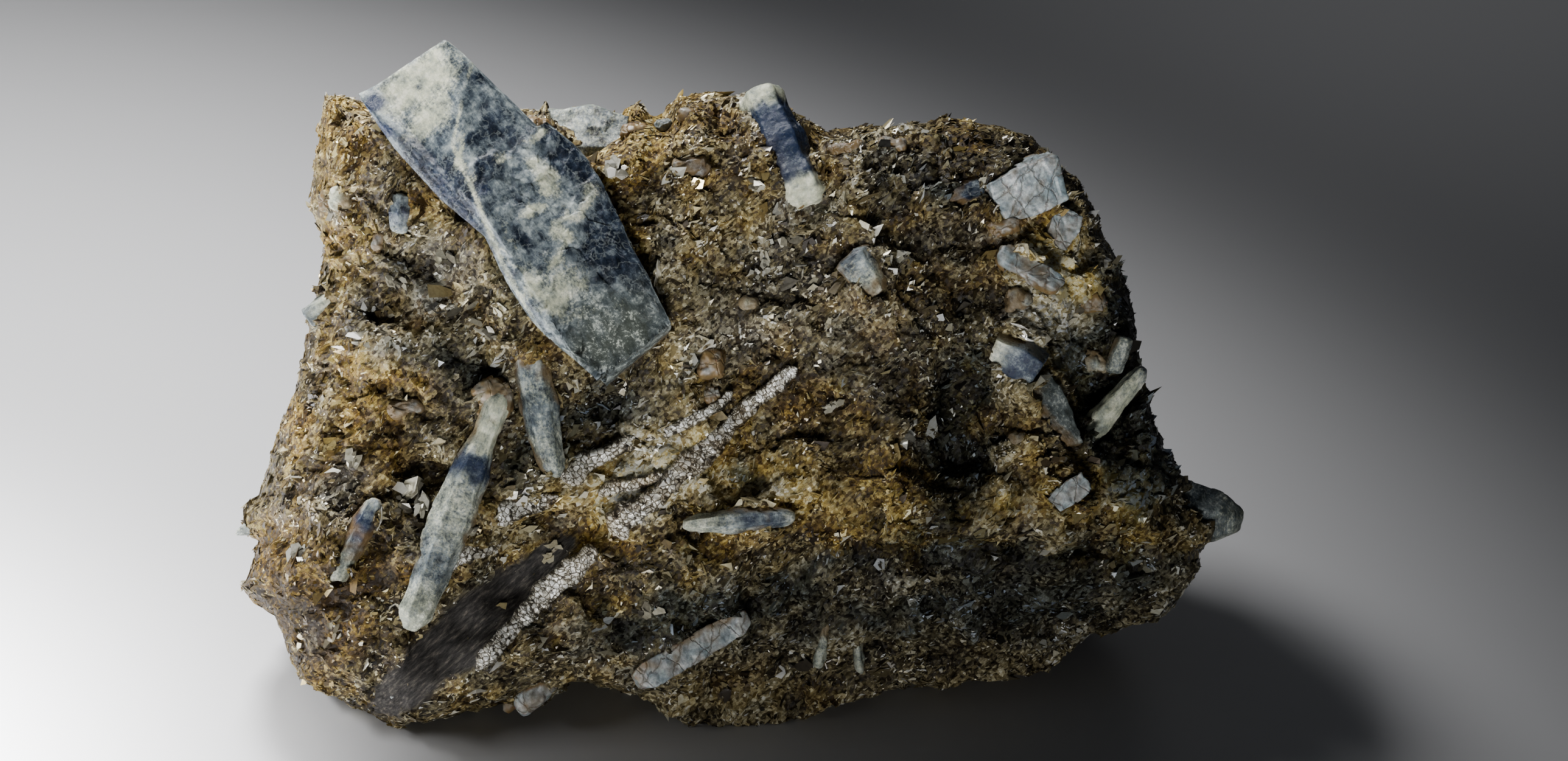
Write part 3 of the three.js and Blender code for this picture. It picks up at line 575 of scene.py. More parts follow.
rock_rust, rock_pale, rock_shade_and_dark = stains_and_shade(rock_points)
rock_bare = bareness(rock_points)
rock_light = 6 * patches(rock_points[:, 0], rock_points[:, 1], LIGHTER) * (rock_normals[:, 2] > 0)
rock = piece("schist_body", rock_points, rock_faces, True, rust=rock_rust, pale=rock_pale, dark=rock_shade_and_dark,
             bare=rock_bare, ridge=rock_ridge + rock_light, fibres=along_grain(rock_points))
ground, tree, surface = new_material("weathered_schist")
grain = noise(tree, 2600, 5, 0.7)
sparkle = linked(tree, "ShaderNodeGroup", {"Scale": 4300, "Tilt": 1.1}, node_tree=glitter)
tone = maths(tree, "MULTIPLY_ADD", grain.outputs[0], 0.9, -0.36)
tone = maths(tree, "MULTIPLY_ADD", sparkle.outputs["Tone"], 0.5, tone)
# Painted light and shade: lighter on raised stones and darker in hollows, with the zones of LIGHTER added.
tone = maths(tree, "MULTIPLY_ADD", field(tree, "ridge"), 0.16, tone)
# fibres drawn out along the grain: plain to see on the bare cleavage face, a faint streak elsewhere
fibre = noise(tree, 5.0, 4, 0.7, field(tree, "fibres", "Vector")).outputs[0]
tone = maths(tree, "ADD", tone, maths(tree, "MULTIPLY_ADD", fibre, 1.1, -0.55))
bare = field(tree, "bare")
dusted = maths(tree, "MULTIPLY", field(tree, "pale"), sparkle.outputs["Tone"])
coloured = linked(tree, "ShaderNodeGroup", {
    "Tone": tone, "Rust": field(tree, "rust"), "Pale": dusted, "ShadeAndDark": field(tree, "dark")},
    node_tree=mica_colour)
# The bare sheet's dark colour is partly its own and partly painted shade, for the sheet lies in shade.
cleavage = ramp(tree, fibre, [
    (0.34, (0.013, 0.012, 0.011)), (0.50, (0.036, 0.033, 0.030)), (0.60, (0.076, 0.068, 0.059)),
    (0.72, (0.19, 0.16, 0.13))])
tree.links.new(blended(tree, bare, coloured.outputs["Colour"], cleavage), surface.inputs["Base Color"])
rough = maths(tree, "MULTIPLY_ADD", sparkle.outputs["Tone"], 0.25, coloured.outputs["Roughness"])
rough = maths(tree, "MULTIPLY_ADD", bare, 0.3, rough)
surface.inputs["Specular IOR Level"].default_value = 0.2
tree.links.new(rough, surface.inputs["Roughness"])
level_out = linked(tree, "ShaderNodeNewGeometry").outputs["Normal"]
lively = linked(tree, "ShaderNodeMix", {0: bare, 4: sparkle.outputs["Normal"], 5: level_out},
                data_type="VECTOR")
height = linked(tree, "ShaderNodeMix", {0: bare, 2: grain.outputs[0], 3: fibre}, data_type="FLOAT")
bump = linked(tree, "ShaderNodeBump", {"Height": height.outputs[0], "Normal": lively.outputs[1],
                                       "Strength": 0.6, "Distance": 0.00015})
tree.links.new(bump.outputs[0], surface.inputs["Normal"])
rock.data.materials.append(ground)
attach(rock, "root")
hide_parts("schist_matrix")


# Large sapphire
# One barrel-shaped crystal of corundum about 24 mm long, milky blue-grey, with navy patches where it is
# clearer and cream where it is altered. It grew in the schist, and its upper end is broken slantwise along
# a parting.
def crystal_axes(turn, pitch, roll):
    """Across, along and out directions of a crystal: its length turned in the face and pitched out of it,
    its thickness as near to out of the face as can be, then both rolled about the length."""
    t, p, r = np.radians([turn, pitch, roll])
    along = np.array([np.cos(t) * np.cos(p), np.sin(t) * np.cos(p), np.sin(p)])
    across = np.cross(along, [0, 0, 1])
    across /= np.linalg.norm(across)
    out = np.cross(across, along)
    return np.array([across * np.cos(r) - out * np.sin(r), along, out * np.cos(r) + across * np.sin(r)])


def box_grid(low, high, step):
    """A closed box of near-square cells, worked out face by face and joined where the faces meet."""
    points, faces, start = [], [], 0
    count = np.maximum(2, np.round((high - low) / step).astype(int))
    for axis in range(3):
        u, v = (axis + 1) % 3, (axis + 2) % 3
        for end in (0, 1):
            b, a = np.meshgrid(np.arange(count[v] + 1), np.arange(count[u] + 1))
            cell = np.zeros((*a.shape, 3))
            cell[..., axis], cell[..., u], cell[..., v] = end * count[axis], a, b
            quads = grid_faces(*a.shape)
            points.append(cell.reshape(-1, 3))
            faces.append((quads[:, ::-1] if end == 1 else quads) + start)
            start += a.size
    points, faces = np.concatenate(points), np.concatenate(faces)
    points, number = np.unique(points, axis=0, return_inverse=True)
    return low + points / count * (high - low), number.reshape(-1)[faces]


def crystal_skin(name, axes, step, sharp):
    """A box grid drawn onto a crystal: each point is moved along its line to the crystal's middle until the
    sum of its shares of the way to every face, raised to a high power, is one. That meets the flat faces
    and rounds the edges between them. Gives the points, faces and the points in the crystal's own
    directions."""
    triangles = node_corners(name)
    own = triangles.reshape(-1, 3) @ axes.T
    low, high = own.min(0), own.max(0)
    middle = (low + high) / 2 @ axes
    normal, distance = crystal_planes(triangles, middle)
    grid, faces = box_grid(low, high, step)
    ray = (grid - (low + high) / 2) @ axes
    share = np.clip(ray @ normal.T / distance, 0, None)
    largest = share.max(1, keepdims=True)
    meld = largest[:, 0] * ((share / largest) ** sharp).sum(1) ** (1 / sharp)
    points = middle + ray / meld[:, None]
    return points, faces, (points - middle) @ axes.T


# Colour patches in its own directions: across, along, half length, half width, turn, strength.
LARGE_CREAM = [
    (-1.0, 10.2, 1.3, 1.4, 0, 0.9), (1.8, 10.2, 1.6, 1.0, 0, 0.9), (0.3, 8.9, 1.9, 1.0, -10, 0.8),
    (-0.9, 7.2, 1.3, 0.9, 15, 0.8), (2.2, 8.6, 1.0, 0.5, 30, 0.5), (1.0, 7.4, 1.4, 0.6, 30, 0.45),
    (-0.6, 4.4, 1.2, 0.3, 62, 0.75), (-1.2, 2.7, 0.5, 0.4, 0, 0.5), (2.6, -0.1, 1.35, 0.65, 80, 1.3),
    (0.5, -1.3, 0.5, 0.4, 0, 1.1), (1.3, 2.4, 0.5, 0.4, 0, 0.6), (3.7, 2.6, 0.55, 0.45, 0, 1.1),
    (-2.2, -1.6, 2.4, 0.2, 86, 0.6), (-1.4, -1.8, 2.2, 0.15, 88, 0.45), (3.4, -2.6, 2.0, 0.33, 16, 0.5),
    (1.2, -3.5, 1.4, 0.35, 30, 0.6), (0, -4.4, 0.5, 0.5, 0, 0.5), (-1.3, -6.1, 1.7, 1.1, 10, 1),
    (-2.6, -4.9, 0.9, 0.8, 0, 0.8), (0.6, -6.6, 0.8, 0.3, 30, 0.5), (-1.0, -8.0, 1.2, 0.5, 0, 0.35),
    (1.6, -9, 0.6, 0.25, 10, 0.4)]
LARGE_NAVY = [
    (3.0, 7.1, 0.75, 0.6, 0, 1.1), (3.0, 5.4, 1.1, 0.9, 0, 0.6), (1.6, 4.6, 1.7, 0.9, 0, 1.0),
    (0.4, 2.4, 0.9, 0.7, 0, 1.0), (2.2, 3.2, 1.3, 0.7, 0, 0.9), (4.5, 1.0, 1.1, 1.8, 0, 1.5),
    (4.6, -1.0, 1.1, 1.6, 0, 1.4), (-0.9, 1.5, 0.7, 0.9, 0, 0.8), (-2.3, 4.2, 1.1, 2.2, 8, 1.2),
    (-2.9, 6.0, 0.6, 1.0, 0, 0.8), (-2.4, 1.4, 1.2, 1.8, 0, 1.0), (-2.9, -1.5, 0.7, 2.0, 0, 0.6),
    (-0.6, -2.4, 1.1, 1.5, 10, 0.9), (0.9, 0.2, 0.7, 1.2, 0, 0.6), (2.4, -1.9, 1.2, 0.5, 0, 0.4),
    (3.3, -7.2, 1.0, 2.9, 4, 1.6), (1.5, -7.2, 0.8, 0.8, 0, 1.1), (2.0, -5.2, 1.7, 1.0, 10, 0.9),
    (4.1, -4.2, 0.9, 1.4, 0, 1.1), (-2.6, -8.6, 0.6, 1.2, 0, 0.5), (2.2, -10.2, 1, 0.7, 0, 0.6),
    (0.2, -8.6, 0.8, 0.5, 0, 0.4)]
LARGE_BLUE = [
    (-2.7, 10.2, 0.6, 0.5, 10, 1.4), (-2.95, 8.6, 0.45, 0.6, 0, 1.1), (-2.5, 6.9, 0.45, 0.35, 0, 0.6),
    (0, 9.4, 0.45, 0.25, -30, 0.5), (-2.5, 3.6, 2.8, 0.8, 85, 0.36), (-2.9, -0.5, 2.0, 0.5, 90, 0.3),
    (-0.8, 1.4, 0.9, 0.5, 80, 0.35)]
LARGE_CLEAR = [(0, -10.4, 3.6, 1.8, 0, 1), (0, -8.4, 2.6, 0.9, 0, 0.4)]
# Where the broken part of its face stands up or falls away, in the same terms.
LARGE_KNOBS = [
    (2.6, -0.1, 1.5, 0.7, 80, 0.30), (0.5, -1.3, 0.5, 0.45, 0, 0.18), (3.7, 2.5, 0.6, 0.5, 0, 0.25),
    (0.9, 1.0, 0.9, 0.5, 60, -0.15), (3.0, -2.7, 2.2, 0.8, 18, 0.14), (1.5, -7.2, 0.9, 0.8, 0, -0.22),
    (-1.3, -6.1, 1.8, 1.0, 10, 0.15), (2.2, -4.6, 1.2, 1.0, 10, -0.14), (-0.6, -2.8, 0.9, 1.0, 10, -0.12),
    (1.7, 3.9, 1.6, 1.0, 0, -0.12)]

# Chips of its broken face: size, rise, tilt, seed.
LARGE_CHIPS = [(1.7, 0.12, 0.08, 203), (0.7, 0.06, 0.10, 223)]


def pushed(points, own, axis, shift):
    """Points of the large crystal moved along one of its own directions, and their places in those
    directions."""
    own = own.copy()
    own[:, axis] += shift
    return points + shift[:, None] * large_axes[axis], own


large_axes = crystal_axes(128.8, -7, 0)
skin, skin_faces, own = crystal_skin("large_sapphire", large_axes, 0.12, 160)
own = own + [0.9, -0.25, 0.5]
# The right flank above the knot of rock is drawn in to a straight edge.
flank = np.where(own[:, 1] > 3.0, 3.27 + (10.8 - own[:, 1]) * 0.122, 5.7)
skin, own = pushed(skin, own, 0, -np.maximum(0, own[:, 0] - flank))
# Its left side is worn in at the middle.
waist = np.interp(own[:, 1], [-11.7, -6.9, -4.1, -0.6, 3.1, 8, 11.8],
                  [-2.45, -3.6, -3.3, -2.5, -3.2, -3.5, -3.1])
skin, own = pushed(skin, own, 0, np.maximum(0, waist - own[:, 0]))
# Its left face is pressed flatter, so that less of it shows from the front.
left_lift = 0.8 * np.clip(-2.0 - own[:, 0], 0, 1.5) * np.clip(own[:, 2] / 0.8, 0, 1)
skin, own = pushed(skin, own, 2, left_lift)
# The crest between its upper left face and its broken face: across at heights along.
crest = np.interp(own[:, 1], [-12, -2.4, 1.6, 5.1, 8, 10], [-4.5, -2.6, -1.4, -0.5, 3.0, 5.4])
skin_out = outward(skin, skin_faces)
past_crest = np.clip(own[:, 0] - crest, 0, 1.2) * np.clip(own[:, 2], 0, 1)
broken = np.clip((4.5 - own[:, 1]) / 1.5, 0, 1) * np.clip(past_crest / 0.5, 0, 1)
worn = 0.025 * cloud(skin, 3.2, 211, 2) + 0.012 * cloud(skin, 0.4, 217, 2)
steps = 0
for chip in LARGE_CHIPS:
    steps = steps + stones(own * [1.0, 0.8, 1.0], *chip) * (0.12 + 0.88 * broken)
striae = 0.006 * np.sin(own[:, 0] * 17 + 2 * cloud(own * [1, 0.2, 1], 0.8, 227, 2)) * (own[:, 0] < -1.2)
knobs = 0.8 * patches(own[:, 0], own[:, 1], LARGE_KNOBS) * np.clip(own[:, 2] * 2, 0, 1)
skin = skin + skin_out * (worn + steps + striae + knobs - 0.14 * past_crest)[:, None]


def own_patches(own, table, seed, warp=0.45):
    """Patches in the crystal's own directions, their edges curled by cloud noise, held between 0 and 1."""
    curl = warp * np.stack([cloud(own, 1.4, seed, 3), cloud(own, 1.4, seed + 7, 3)], -1)
    spread = patches(own[:, 0] + curl[:, 0], own[:, 1] + curl[:, 1], table)
    return np.clip(spread * (1 + 0.35 * cloud(own, 0.7, seed + 3, 3)), 0, 1)


def rock_stain(points, seed):
    """How brown a crystal is where the rock touches it: full at the rock's face, fading within a millimetre
    above it, and clean along the top edge of the specimen."""
    height = points[:, 2] - surface_depth(points[:, 0], points[:, 1])
    touched = np.clip((1.0 - height) / 0.6 + 0.5 * cloud(points, 0.6, seed, 3), 0, 1)
    return touched * np.clip(16.5 - points[:, 1], 0, 1)


def sapphire_colour_group():
    """Colour of milky corundum: grey-blue body, navy where it is clear and deep, cream where it is altered,
    true blue spots, all broken up by fine clouds and threads."""
    tree, given, put = new_group(
        "sapphire_colour",
        [("Place", "NodeSocketVector", (0, 0, 0)), ("Navy", "NodeSocketFloat", 0),
         ("Cream", "NodeSocketFloat", 0), ("Blue", "NodeSocketFloat", 0), ("Clear", "NodeSocketFloat", 0),
         ("Stain", "NodeSocketFloat", 0)],
        [("Colour", "NodeSocketColor"), ("Height", "NodeSocketFloat")])
    mottle = noise(tree, 1.25, 5, 0.62, given["Place"]).outputs[0]
    fine = noise(tree, 6.0, 6, 0.75, given["Place"]).outputs[0]
    drawn_place = linked(tree, "ShaderNodeMapping", {"Vector": given["Place"], "Scale": (3.2, 0.5, 3.2)})
    streaky = noise(tree, 1.3, 5, 0.7, drawn_place.outputs[0]).outputs[0]
    winding = noise(tree, 1.15, 3, 0.55, given["Place"]).outputs[0]
    crease = maths(tree, "ABSOLUTE", maths(tree, "MULTIPLY_ADD", winding, 2.0, -1.0))
    thread = maths(tree, "MAXIMUM", maths(tree, "MULTIPLY_ADD", crease, -16.0, 1.0), 0.0)
    thread = maths(tree, "MULTIPLY", thread, fine)
    fleck = maths(tree, "MULTIPLY_ADD", fine, 10.0, maths(tree, "MULTIPLY_ADD", mottle, 6.0, -8.4))
    mixed = maths(tree, "MULTIPLY_ADD", fine, 0.22, maths(tree, "MULTIPLY", mottle, 0.58))
    mixed = maths(tree, "MULTIPLY_ADD", streaky, 0.2, mixed)
    milky = ramp(tree, mixed, [
        (0.39, (0.022, 0.030, 0.042)), (0.46, (0.072, 0.094, 0.114)), (0.53, (0.21, 0.250, 0.262)),
        (0.61, (0.52, 0.58, 0.55))])
    deep = ramp(tree, mixed, [
        (0.41, (0.003, 0.005, 0.010)), (0.50, (0.012, 0.019, 0.034)), (0.56, (0.036, 0.051, 0.076)),
        (0.64, (0.18, 0.22, 0.25))])
    altered = ramp(tree, mixed, [
        (0.37, (0.15, 0.17, 0.145)), (0.44, (0.36, 0.39, 0.31)), (0.51, (0.62, 0.64, 0.46)),
        (0.59, (0.93, 0.92, 0.74))])
    edge_noise = maths(tree, "MULTIPLY_ADD", fine, 1.6, -0.8)

    def spread_by(value, gain):
        """A mask pushed by fine noise, so that its edge breaks up."""
        lifted = maths(tree, "MULTIPLY_ADD", edge_noise, 1.3, maths(tree, "MULTIPLY", value, gain))
        lifted = maths(tree, "MULTIPLY_ADD", lifted, 1.7, -0.35)
        near = maths(tree, "MINIMUM", maths(tree, "MULTIPLY", value, 4.0), 1.0)
        return maths(tree, "MULTIPLY", held(tree, lifted), near)

    body = blended(tree, spread_by(given["Navy"], 0.9), milky, deep)
    body = blended(tree, spread_by(given["Cream"], 1.1), body, altered)
    body = blended(tree, maths(tree, "MULTIPLY", thread, 0.6), body, (0.42, 0.47, 0.45, 1))
    body = blended(tree, spread_by(given["Blue"], 1.2), body, (0.014, 0.026, 0.062, 1))
    glassy = blended(tree, held(tree, fleck), (0.075, 0.086, 0.064, 1), (0.70, 0.74, 0.63, 1))
    body = blended(tree, maths(tree, "MULTIPLY", given["Clear"], 0.8), body, glassy)
    body = blended(tree, maths(tree, "MULTIPLY", given["Stain"], 0.8), body, (0.17, 0.105, 0.035, 1))
    tree.links.new(body, put["Colour"])
    tree.links.new(maths(tree, "ADD", fine, maths(tree, "MULTIPLY", mottle, 2.0)), put["Height"])
    return tree


sapphire_colour = sapphire_colour_group()


def sapphire_material(name, roughness, subsurface, bump_depth):
    """Milky corundum: the colour group over the crystal's own place, a greasy gloss and a little light let
    in."""
    material, tree, surface = new_material(name)
    coloured = linked(tree, "ShaderNodeGroup", node_tree=sapphire_colour)
    place = field(tree, "place", "Vector")
    tree.links.new(place, coloured.inputs["Place"])
    for label in ("Navy", "Cream", "Blue", "Clear", "Stain"):
        tree.links.new(field(tree, label.lower()), coloured.inputs[label])
    tree.links.new(coloured.outputs["Colour"], surface.inputs["Base Color"])
    gloss = noise(tree, 4.0, 4, 0.6, place).outputs[0]
    tree.links.new(maths(tree, "MULTIPLY_ADD", gloss, 0.3, roughness - 0.15), surface.inputs["Roughness"])
    surface.inputs["IOR"].default_value = 1.5
    surface.inputs["Specular IOR Level"].default_value = 0.35
    surface.inputs["Subsurface Weight"].default_value = subsurface
    surface.inputs["Subsurface Radius"].default_value = (0.6, 0.8, 1.0)
    surface.inputs["Subsurface Scale"].default_value = 0.0009
    bump = linked(tree, "ShaderNodeBump",
                  {"Height": coloured.outputs["Height"], "Strength": 0.5, "Distance": bump_depth})
    tree.links.new(bump.outputs[0], surface.inputs["Normal"])
    return material


# Painted shade: the left face, turned from the lamp, is painted navy and blue and kept free of cream, less
# of it on a stretch of the lower half; partly this is its own blue-grey.
left_face_shade = np.clip(-1.6 * (skin_out @ large_axes[0]) - 0.3, 0, 1) * np.clip(skin_out[:, 2] + 1, 0, 1)
left_face_shade *= np.interp(own[:, 1], [-8.5, -7, -3.5, -2], [1, 0.4, 0.4, 1])
# Painted highlight: a pale line along the crest, where the edge catches the light.
crest_line = np.exp(-((own[:, 0] - crest) / 0.2) ** 2) * np.clip(own[:, 2], 0, 1)
left_shade_navy = left_face_shade * (0.30 + 0.6 * cloud(own * [1, 0.4, 1], 1.5, 271, 2))
left_shade_blue = 0.10 * left_face_shade * np.clip(1.2 - np.abs(own[:, 1] - 3) / 8, 0, 1)
crest_highlight = 0.62 * crest_line * np.clip(0.7 + cloud(own, 1.2, 281, 2), 0, 1)
face_cream = own_patches(own, LARGE_CREAM, 241) * (1 - 0.95 * left_face_shade)
large = piece(
    "large_sapphire_barrel", skin, skin_faces, True, place=own,
    navy=np.maximum(own_patches(own, LARGE_NAVY, 231), left_shade_navy),
    # cream holds the cream patches and the painted highlight along the crest.
    cream=np.maximum(face_cream, crest_highlight),
    blue=np.maximum(own_patches(own, LARGE_BLUE, 251, 0.2), left_shade_blue),
    clear=own_patches(own, LARGE_CLEAR, 261), stain=rock_stain(skin, 291))
milky_sapphire = sapphire_material("milky_sapphire", 0.27, 0.0, 0.00012)
large.data.materials.append(milky_sapphire)
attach(large, "root")
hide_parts("large_sapphire")


# Smaller sapphires
# Rods, grains and points of the same corundum, grown in the schist at all angles. Most are cloudy grey-blue
# with cream ends; a few are deep blue at the heart.
# Node name: turn, pitch and roll; finish; its length against its seat's and its shift along; width at
# shares of the length from -1 to 1; at such shares how much navy, cream, blue and clear it has; how much
# navy specks.
SMALL_SAPPHIRES = {
    "speckled_sapphire_top": (
        (-4, 0, 0), "grey_sapphire", (1.0, 0.0), [(-1, 0.9), (0, 1.05), (1, 0.9)],
        [(-1, 0.0, 0.4, 0.05, 0), (1, 0.1, 0.25, 0.05, 0)], 1.0),
    "blue_sapphire_top": (
        (114, -22, 10), "blue_sapphire", (1.0, 0.0),
        [(-1, 1.25), (-0.7, 1.3), (-0.3, 1.15), (0.5, 1.2), (1, 1.35)],
        [(-1, 0, 1, 0, 0), (-0.72, 0, 0.9, 0, 0), (-0.5, 0.7, 0.1, 0.5, 0), (0.2, 1, 0, 0.6, 0),
         (0.6, 0.5, 0.2, 0.6, 0), (0.8, 0.1, 0.8, 0, 0), (1, 0, 1, 0, 0)], 0),
    "rod_under_large_sapphire": (
        (102, -6, 0), "grey_sapphire", (1.4, 1.1), [(-1, 0.85), (-0.6, 1.25), (0.1, 1.3), (1, 1.2)],
        [(-1, 0, 0.35, 0, 0.3), (-0.6, 0, 0.4, 0, 0.2), (-0.35, 0.3, 0.1, 0, 0.1), (-0.1, 0, 0.35, 0, 0.1),
         (0.15, 0.3, 0.1, 0.1, 0.1), (0.4, 0, 0.35, 0, 0.1), (0.6, 0.3, 0.1, 0.2, 0.1),
         (1, 0.1, 0.3, 0, 0.2)], 0.3),
    "long_rod_lower_left": (
        (69, -6, 12), "grey_sapphire", (1.0, 0.0),
        [(-1, 0.75), (-0.85, 0.95), (-0.2, 1.1), (0.2, 1.1), (0.4, 0.95), (0.66, 0.72), (0.8, 0.74),
         (1, 0.7)],
        [(-1, 0, 0.7, 0, 0.5), (-0.78, 0, 0.6, 0, 0.4), (-0.62, 0.2, 0.3, 0.1, 0.1),
         (-0.42, 0.35, 0.2, 0.2, 0), (-0.25, 0.1, 0.4, 0, 0), (0.05, 0, 0.5, 0, 0),
         (0.2, 0.1, 0.4, 0.1, 0), (0.34, 0.95, 0, 0.6, 0), (0.44, 0.5, 0.1, 0.3, 0), (0.54, 0, 0.8, 0, 0),
         (0.72, 0, 1, 0, 0), (1, 0, 0.9, 0, 0)], 0.35),
    "short_rod_left": (
        (64, 4, 0), "blue_sapphire", (1.25, 0.0), [(-1, 0.7), (-0.4, 0.8), (0.3, 1.05), (1, 0.9)],
        [(-1, 0, 0.7, 0, 0.5), (-0.4, 0.1, 0.5, 0, 0.4), (-0.1, 0.5, 0.1, 0.2, 0), (0.3, 0.9, 0, 0.7, 0),
         (0.7, 0.6, 0, 0.5, 0), (1, 0.2, 0.4, 0, 0)], 0.3),
    "grain_upper_left": (
        (85, 0, 20), "grey_sapphire", (0.9, 0.0), [(-1, 0.8), (0, 1.1), (1, 0.85)],
        [(-1, 0.3, 0.3, 0, 0), (0, 0.5, 0, 0.3, 0), (1, 0.3, 0.2, 0, 0)], 0.4),
    "grain_left_edge": ((25, 0, 15), "grey_sapphire", (1.0, 0.0), [(-1, 0.7), (1, 1.0)],
                        [(-1, 0.3, 0.3, 0.4, 0), (1, 0, 0.9, 0, 0.1)], 0),
    "tooth_left_edge": ((205, 0, 0), "grey_sapphire", (1.0, 0.0), [(-1, 1), (1, 0.8)],
                        [(-1, 0.1, 0.3, 0, 0.5), (1, 0.1, 0.3, 0, 0.5)], 0),
    "rod_lower_middle": (
        (4, 0, 0), "grey_sapphire", (1.05, 0.0), [(-1, 0.8), (-0.4, 1), (0.4, 1.05), (1, 0.8)],
        [(-1, 0, 0.7, 0, 0.3), (-0.5, 0, 0.5, 0, 0.2), (-0.1, 0.2, 0.3, 0.1, 0), (0.3, 0.4, 0.1, 0.35, 0),
         (0.7, 0.4, 0.1, 0.3, 0), (1, 0, 0.5, 0, 0.2)], 0.4),
    "rod_right": (
        (50, -4, 0), "grey_sapphire", (1.45, 0.0),
        [(-1, 0.2), (-0.7, 0.65), (-0.1, 1.05), (0.6, 1.0), (1, 0.75)],
        [(-1, 0, 1, 0, 0.3), (0.2, 0, 0.9, 0, 0.1), (0.7, 0.1, 0.6, 0, 0.1), (1, 0.4, 0.2, 0, 0.1)], 0.1),
    "grain_right_edge": ((70, 0, 0), "grey_sapphire", (1.0, 0.0), [(-1, 0.9), (1, 1)],
                         [(-1, 0.4, 0.3, 0, 0.3), (1, 0.2, 0.4, 0, 0.3)], 0.2),
    "wedge_in_right_pocket": (
        (-58, 0, -20), "grey_sapphire", (1.2, 0.0), [(-1, 1.3), (1, 0.6)],
        [(-1, 0.7, 0.1, 0, 0.5), (1, 0.5, 0.1, 0, 0.6)], 0.2),
    "blue_grain_right": (
        (-28, 0, 25), "blue_sapphire", (1.0, 0.0), [(-1, 0.8), (0, 1.1), (1, 0.9)],
        [(-1, 0, 0.8, 0, 0), (-0.5, 0.2, 0.4, 0.2, 0), (0.1, 0.5, 0, 0.5, 0), (1, 0.6, 0, 0.3, 0)], 0.3),
    "dark_grain_upper_right": (
        (20, 0, 0), "blue_sapphire", (1.3, 0.0), [(-1, 0.9), (1, 1.1)],
        [(-1, 0.9, 0, 0.3, 0), (1, 0.7, 0.1, 0.2, 0)], 0.3),
    "sapphire_point_right": (
        (-10, 0, 25), "blue_sapphire", (1.0, 0.0), [(-1, 1), (0.2, 1.1), (1, 1.9)],
        [(-1, 0.5, 0.2, 0.1, 0.2), (0.3, 0.8, 0, 0.1, 0.3), (1, 0.2, 0.4, 0, 0.5)], 0.3),
    "grain_middle": (
        (-55, 0, 10), "grey_sapphire", (1.0, 0.0), [(-1, 1.5), (0, 1.35), (1, 0.9)],
        [(-1, 0.35, 0.1, 0.1, 0), (0, 0.2, 0.3, 0, 0), (0.6, 0, 0.6, 0, 0.2), (1, 0.2, 0.5, 0, 0.2)], 0.5),
    "dark_grain_top": ((10, 0, 0), "blue_sapphire", (1.0, 0.0), [(-1, 1), (1, 1)],
                       [(-1, 0.7, 0.3, 0, 0), (1, 0.8, 0.1, 0, 0)], 0.6),
    "rear_sapphire": (
        (35, 6, 0), "grey_sapphire", (1.0, 0.0), [(-1, 1), (1, 0.85)],
        [(-1, 0, 0.6, 0, 0), (-0.3, 0.4, 0.1, 0.1, 0), (1, 0.1, 0.6, 0, 0.1)], 0.3)}

# Crystals that the rock has hardly stained.
CLEAN = ("blue_sapphire_top", "speckled_sapphire_top", "grain_upper_left", "sapphire_point_right",
         "rod_right", "grain_left_edge", "tooth_left_edge")
# Crystals whose upper part leans back into the rock: how steeply.
LEANS_BACK = {"speckled_sapphire_top": 0.7}

small_material = sapphire_material("cloudy_sapphire", 0.3, 0.03, 0.0001)
for number, (name, form) in enumerate(SMALL_SAPPHIRES.items()):
    angles, slot, (longer, shift), widths, bands, specks = form
    axes = crystal_axes(*angles)
    skin, skin_faces, own = crystal_skin(name, axes, 0.1, 60)
    middle = (skin - own @ axes)[0]
    half = np.abs(own[:, 1]).max()
    at = own[:, 1] / half
    widths = np.array(widths, float)
    wide = np.interp(at, widths[:, 0], widths[:, 1])
    wide = wide * (1 + 0.07 * cloud(own * [0.3, 1, 0.3], 1.4, 290 + number, 2))
    slant = 0.25 * np.sin(number * 2.1) * own[:, 0] * np.clip(np.abs(at) - 0.6, 0, 1)
    shaped = np.column_stack([own[:, 0] * wide, own[:, 1] * longer + shift + slant,
                              own[:, 2] * (0.4 + 0.6 * wide)])
    skin = middle + shaped @ axes
    skin[:, 2] -= LEANS_BACK.get(name, 0) * np.clip(skin[:, 1] - middle[1] + 1, 0, 9)
    wear = 0.05 * cloud(skin, 1.1, 300 + number, 2) + 0.07 * (crazed(skin, 0.8, 380 + number)[0] - 0.5)
    wear += 0.015 * cloud(skin, 0.25, 340 + number)
    skin = skin + outward(skin, skin_faces) * wear[:, None]
    place = own + 31.7 * number
    bands = np.array(bands, float)
    wander = 0.10 * cloud(place, 0.9, 500 + number, 2)
    wander = wander + 0.12 * cloud(place * [4, 0.7, 4], 1.2, 520 + number, 2)
    drift = at + wander * min(1, 3 / half)
    navy, cream, blue, clear = (np.interp(drift, bands[:, 0], bands[:, k]) for k in (1, 2, 3, 4))
    navy = np.clip(navy + specks * np.clip(3.0 * cloud(place, 0.55, 540 + number, 2) - 1.2, 0, 1), 0, 1)
    stained = rock_stain(skin, 560 + number) * (0.12 if name in CLEAN else 1)
    made = piece(name + "_grown", skin, skin_faces, True, place=place, navy=navy, cream=cream, blue=blue,
                 clear=clear, stain=stained)
    made.data.materials.append(small_material)
    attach(made, "root")
    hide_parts(name)


# Feldspar blocks and laths
# Pale, cleaved feldspar broken with the rock: square-edged blocks with fine cracks along two cleavages.
# Name: turn, pitch and roll, and how stained it is.
FELDSPARS = {
    "feldspar_block_large": (22, -8, 10, 0.0), "feldspar_block_small": (65, 0, 12, 0.1),
    "lath_upper_right": (-30, 0, -25, 0.4), "pale_grain_lower_right": (37, 0, 0, 0.1),
    # The lath under the ledge is stained partly as painted shade, for it lies under the ledge.
    "clear_tooth_foot": (-118, 0, 20, 0.5), "lath_under_ledge": (30, -6, 0, 0.3)}

feldspar, tree, surface = new_material("cleaved_feldspar")
place = field(tree, "place", "Vector")
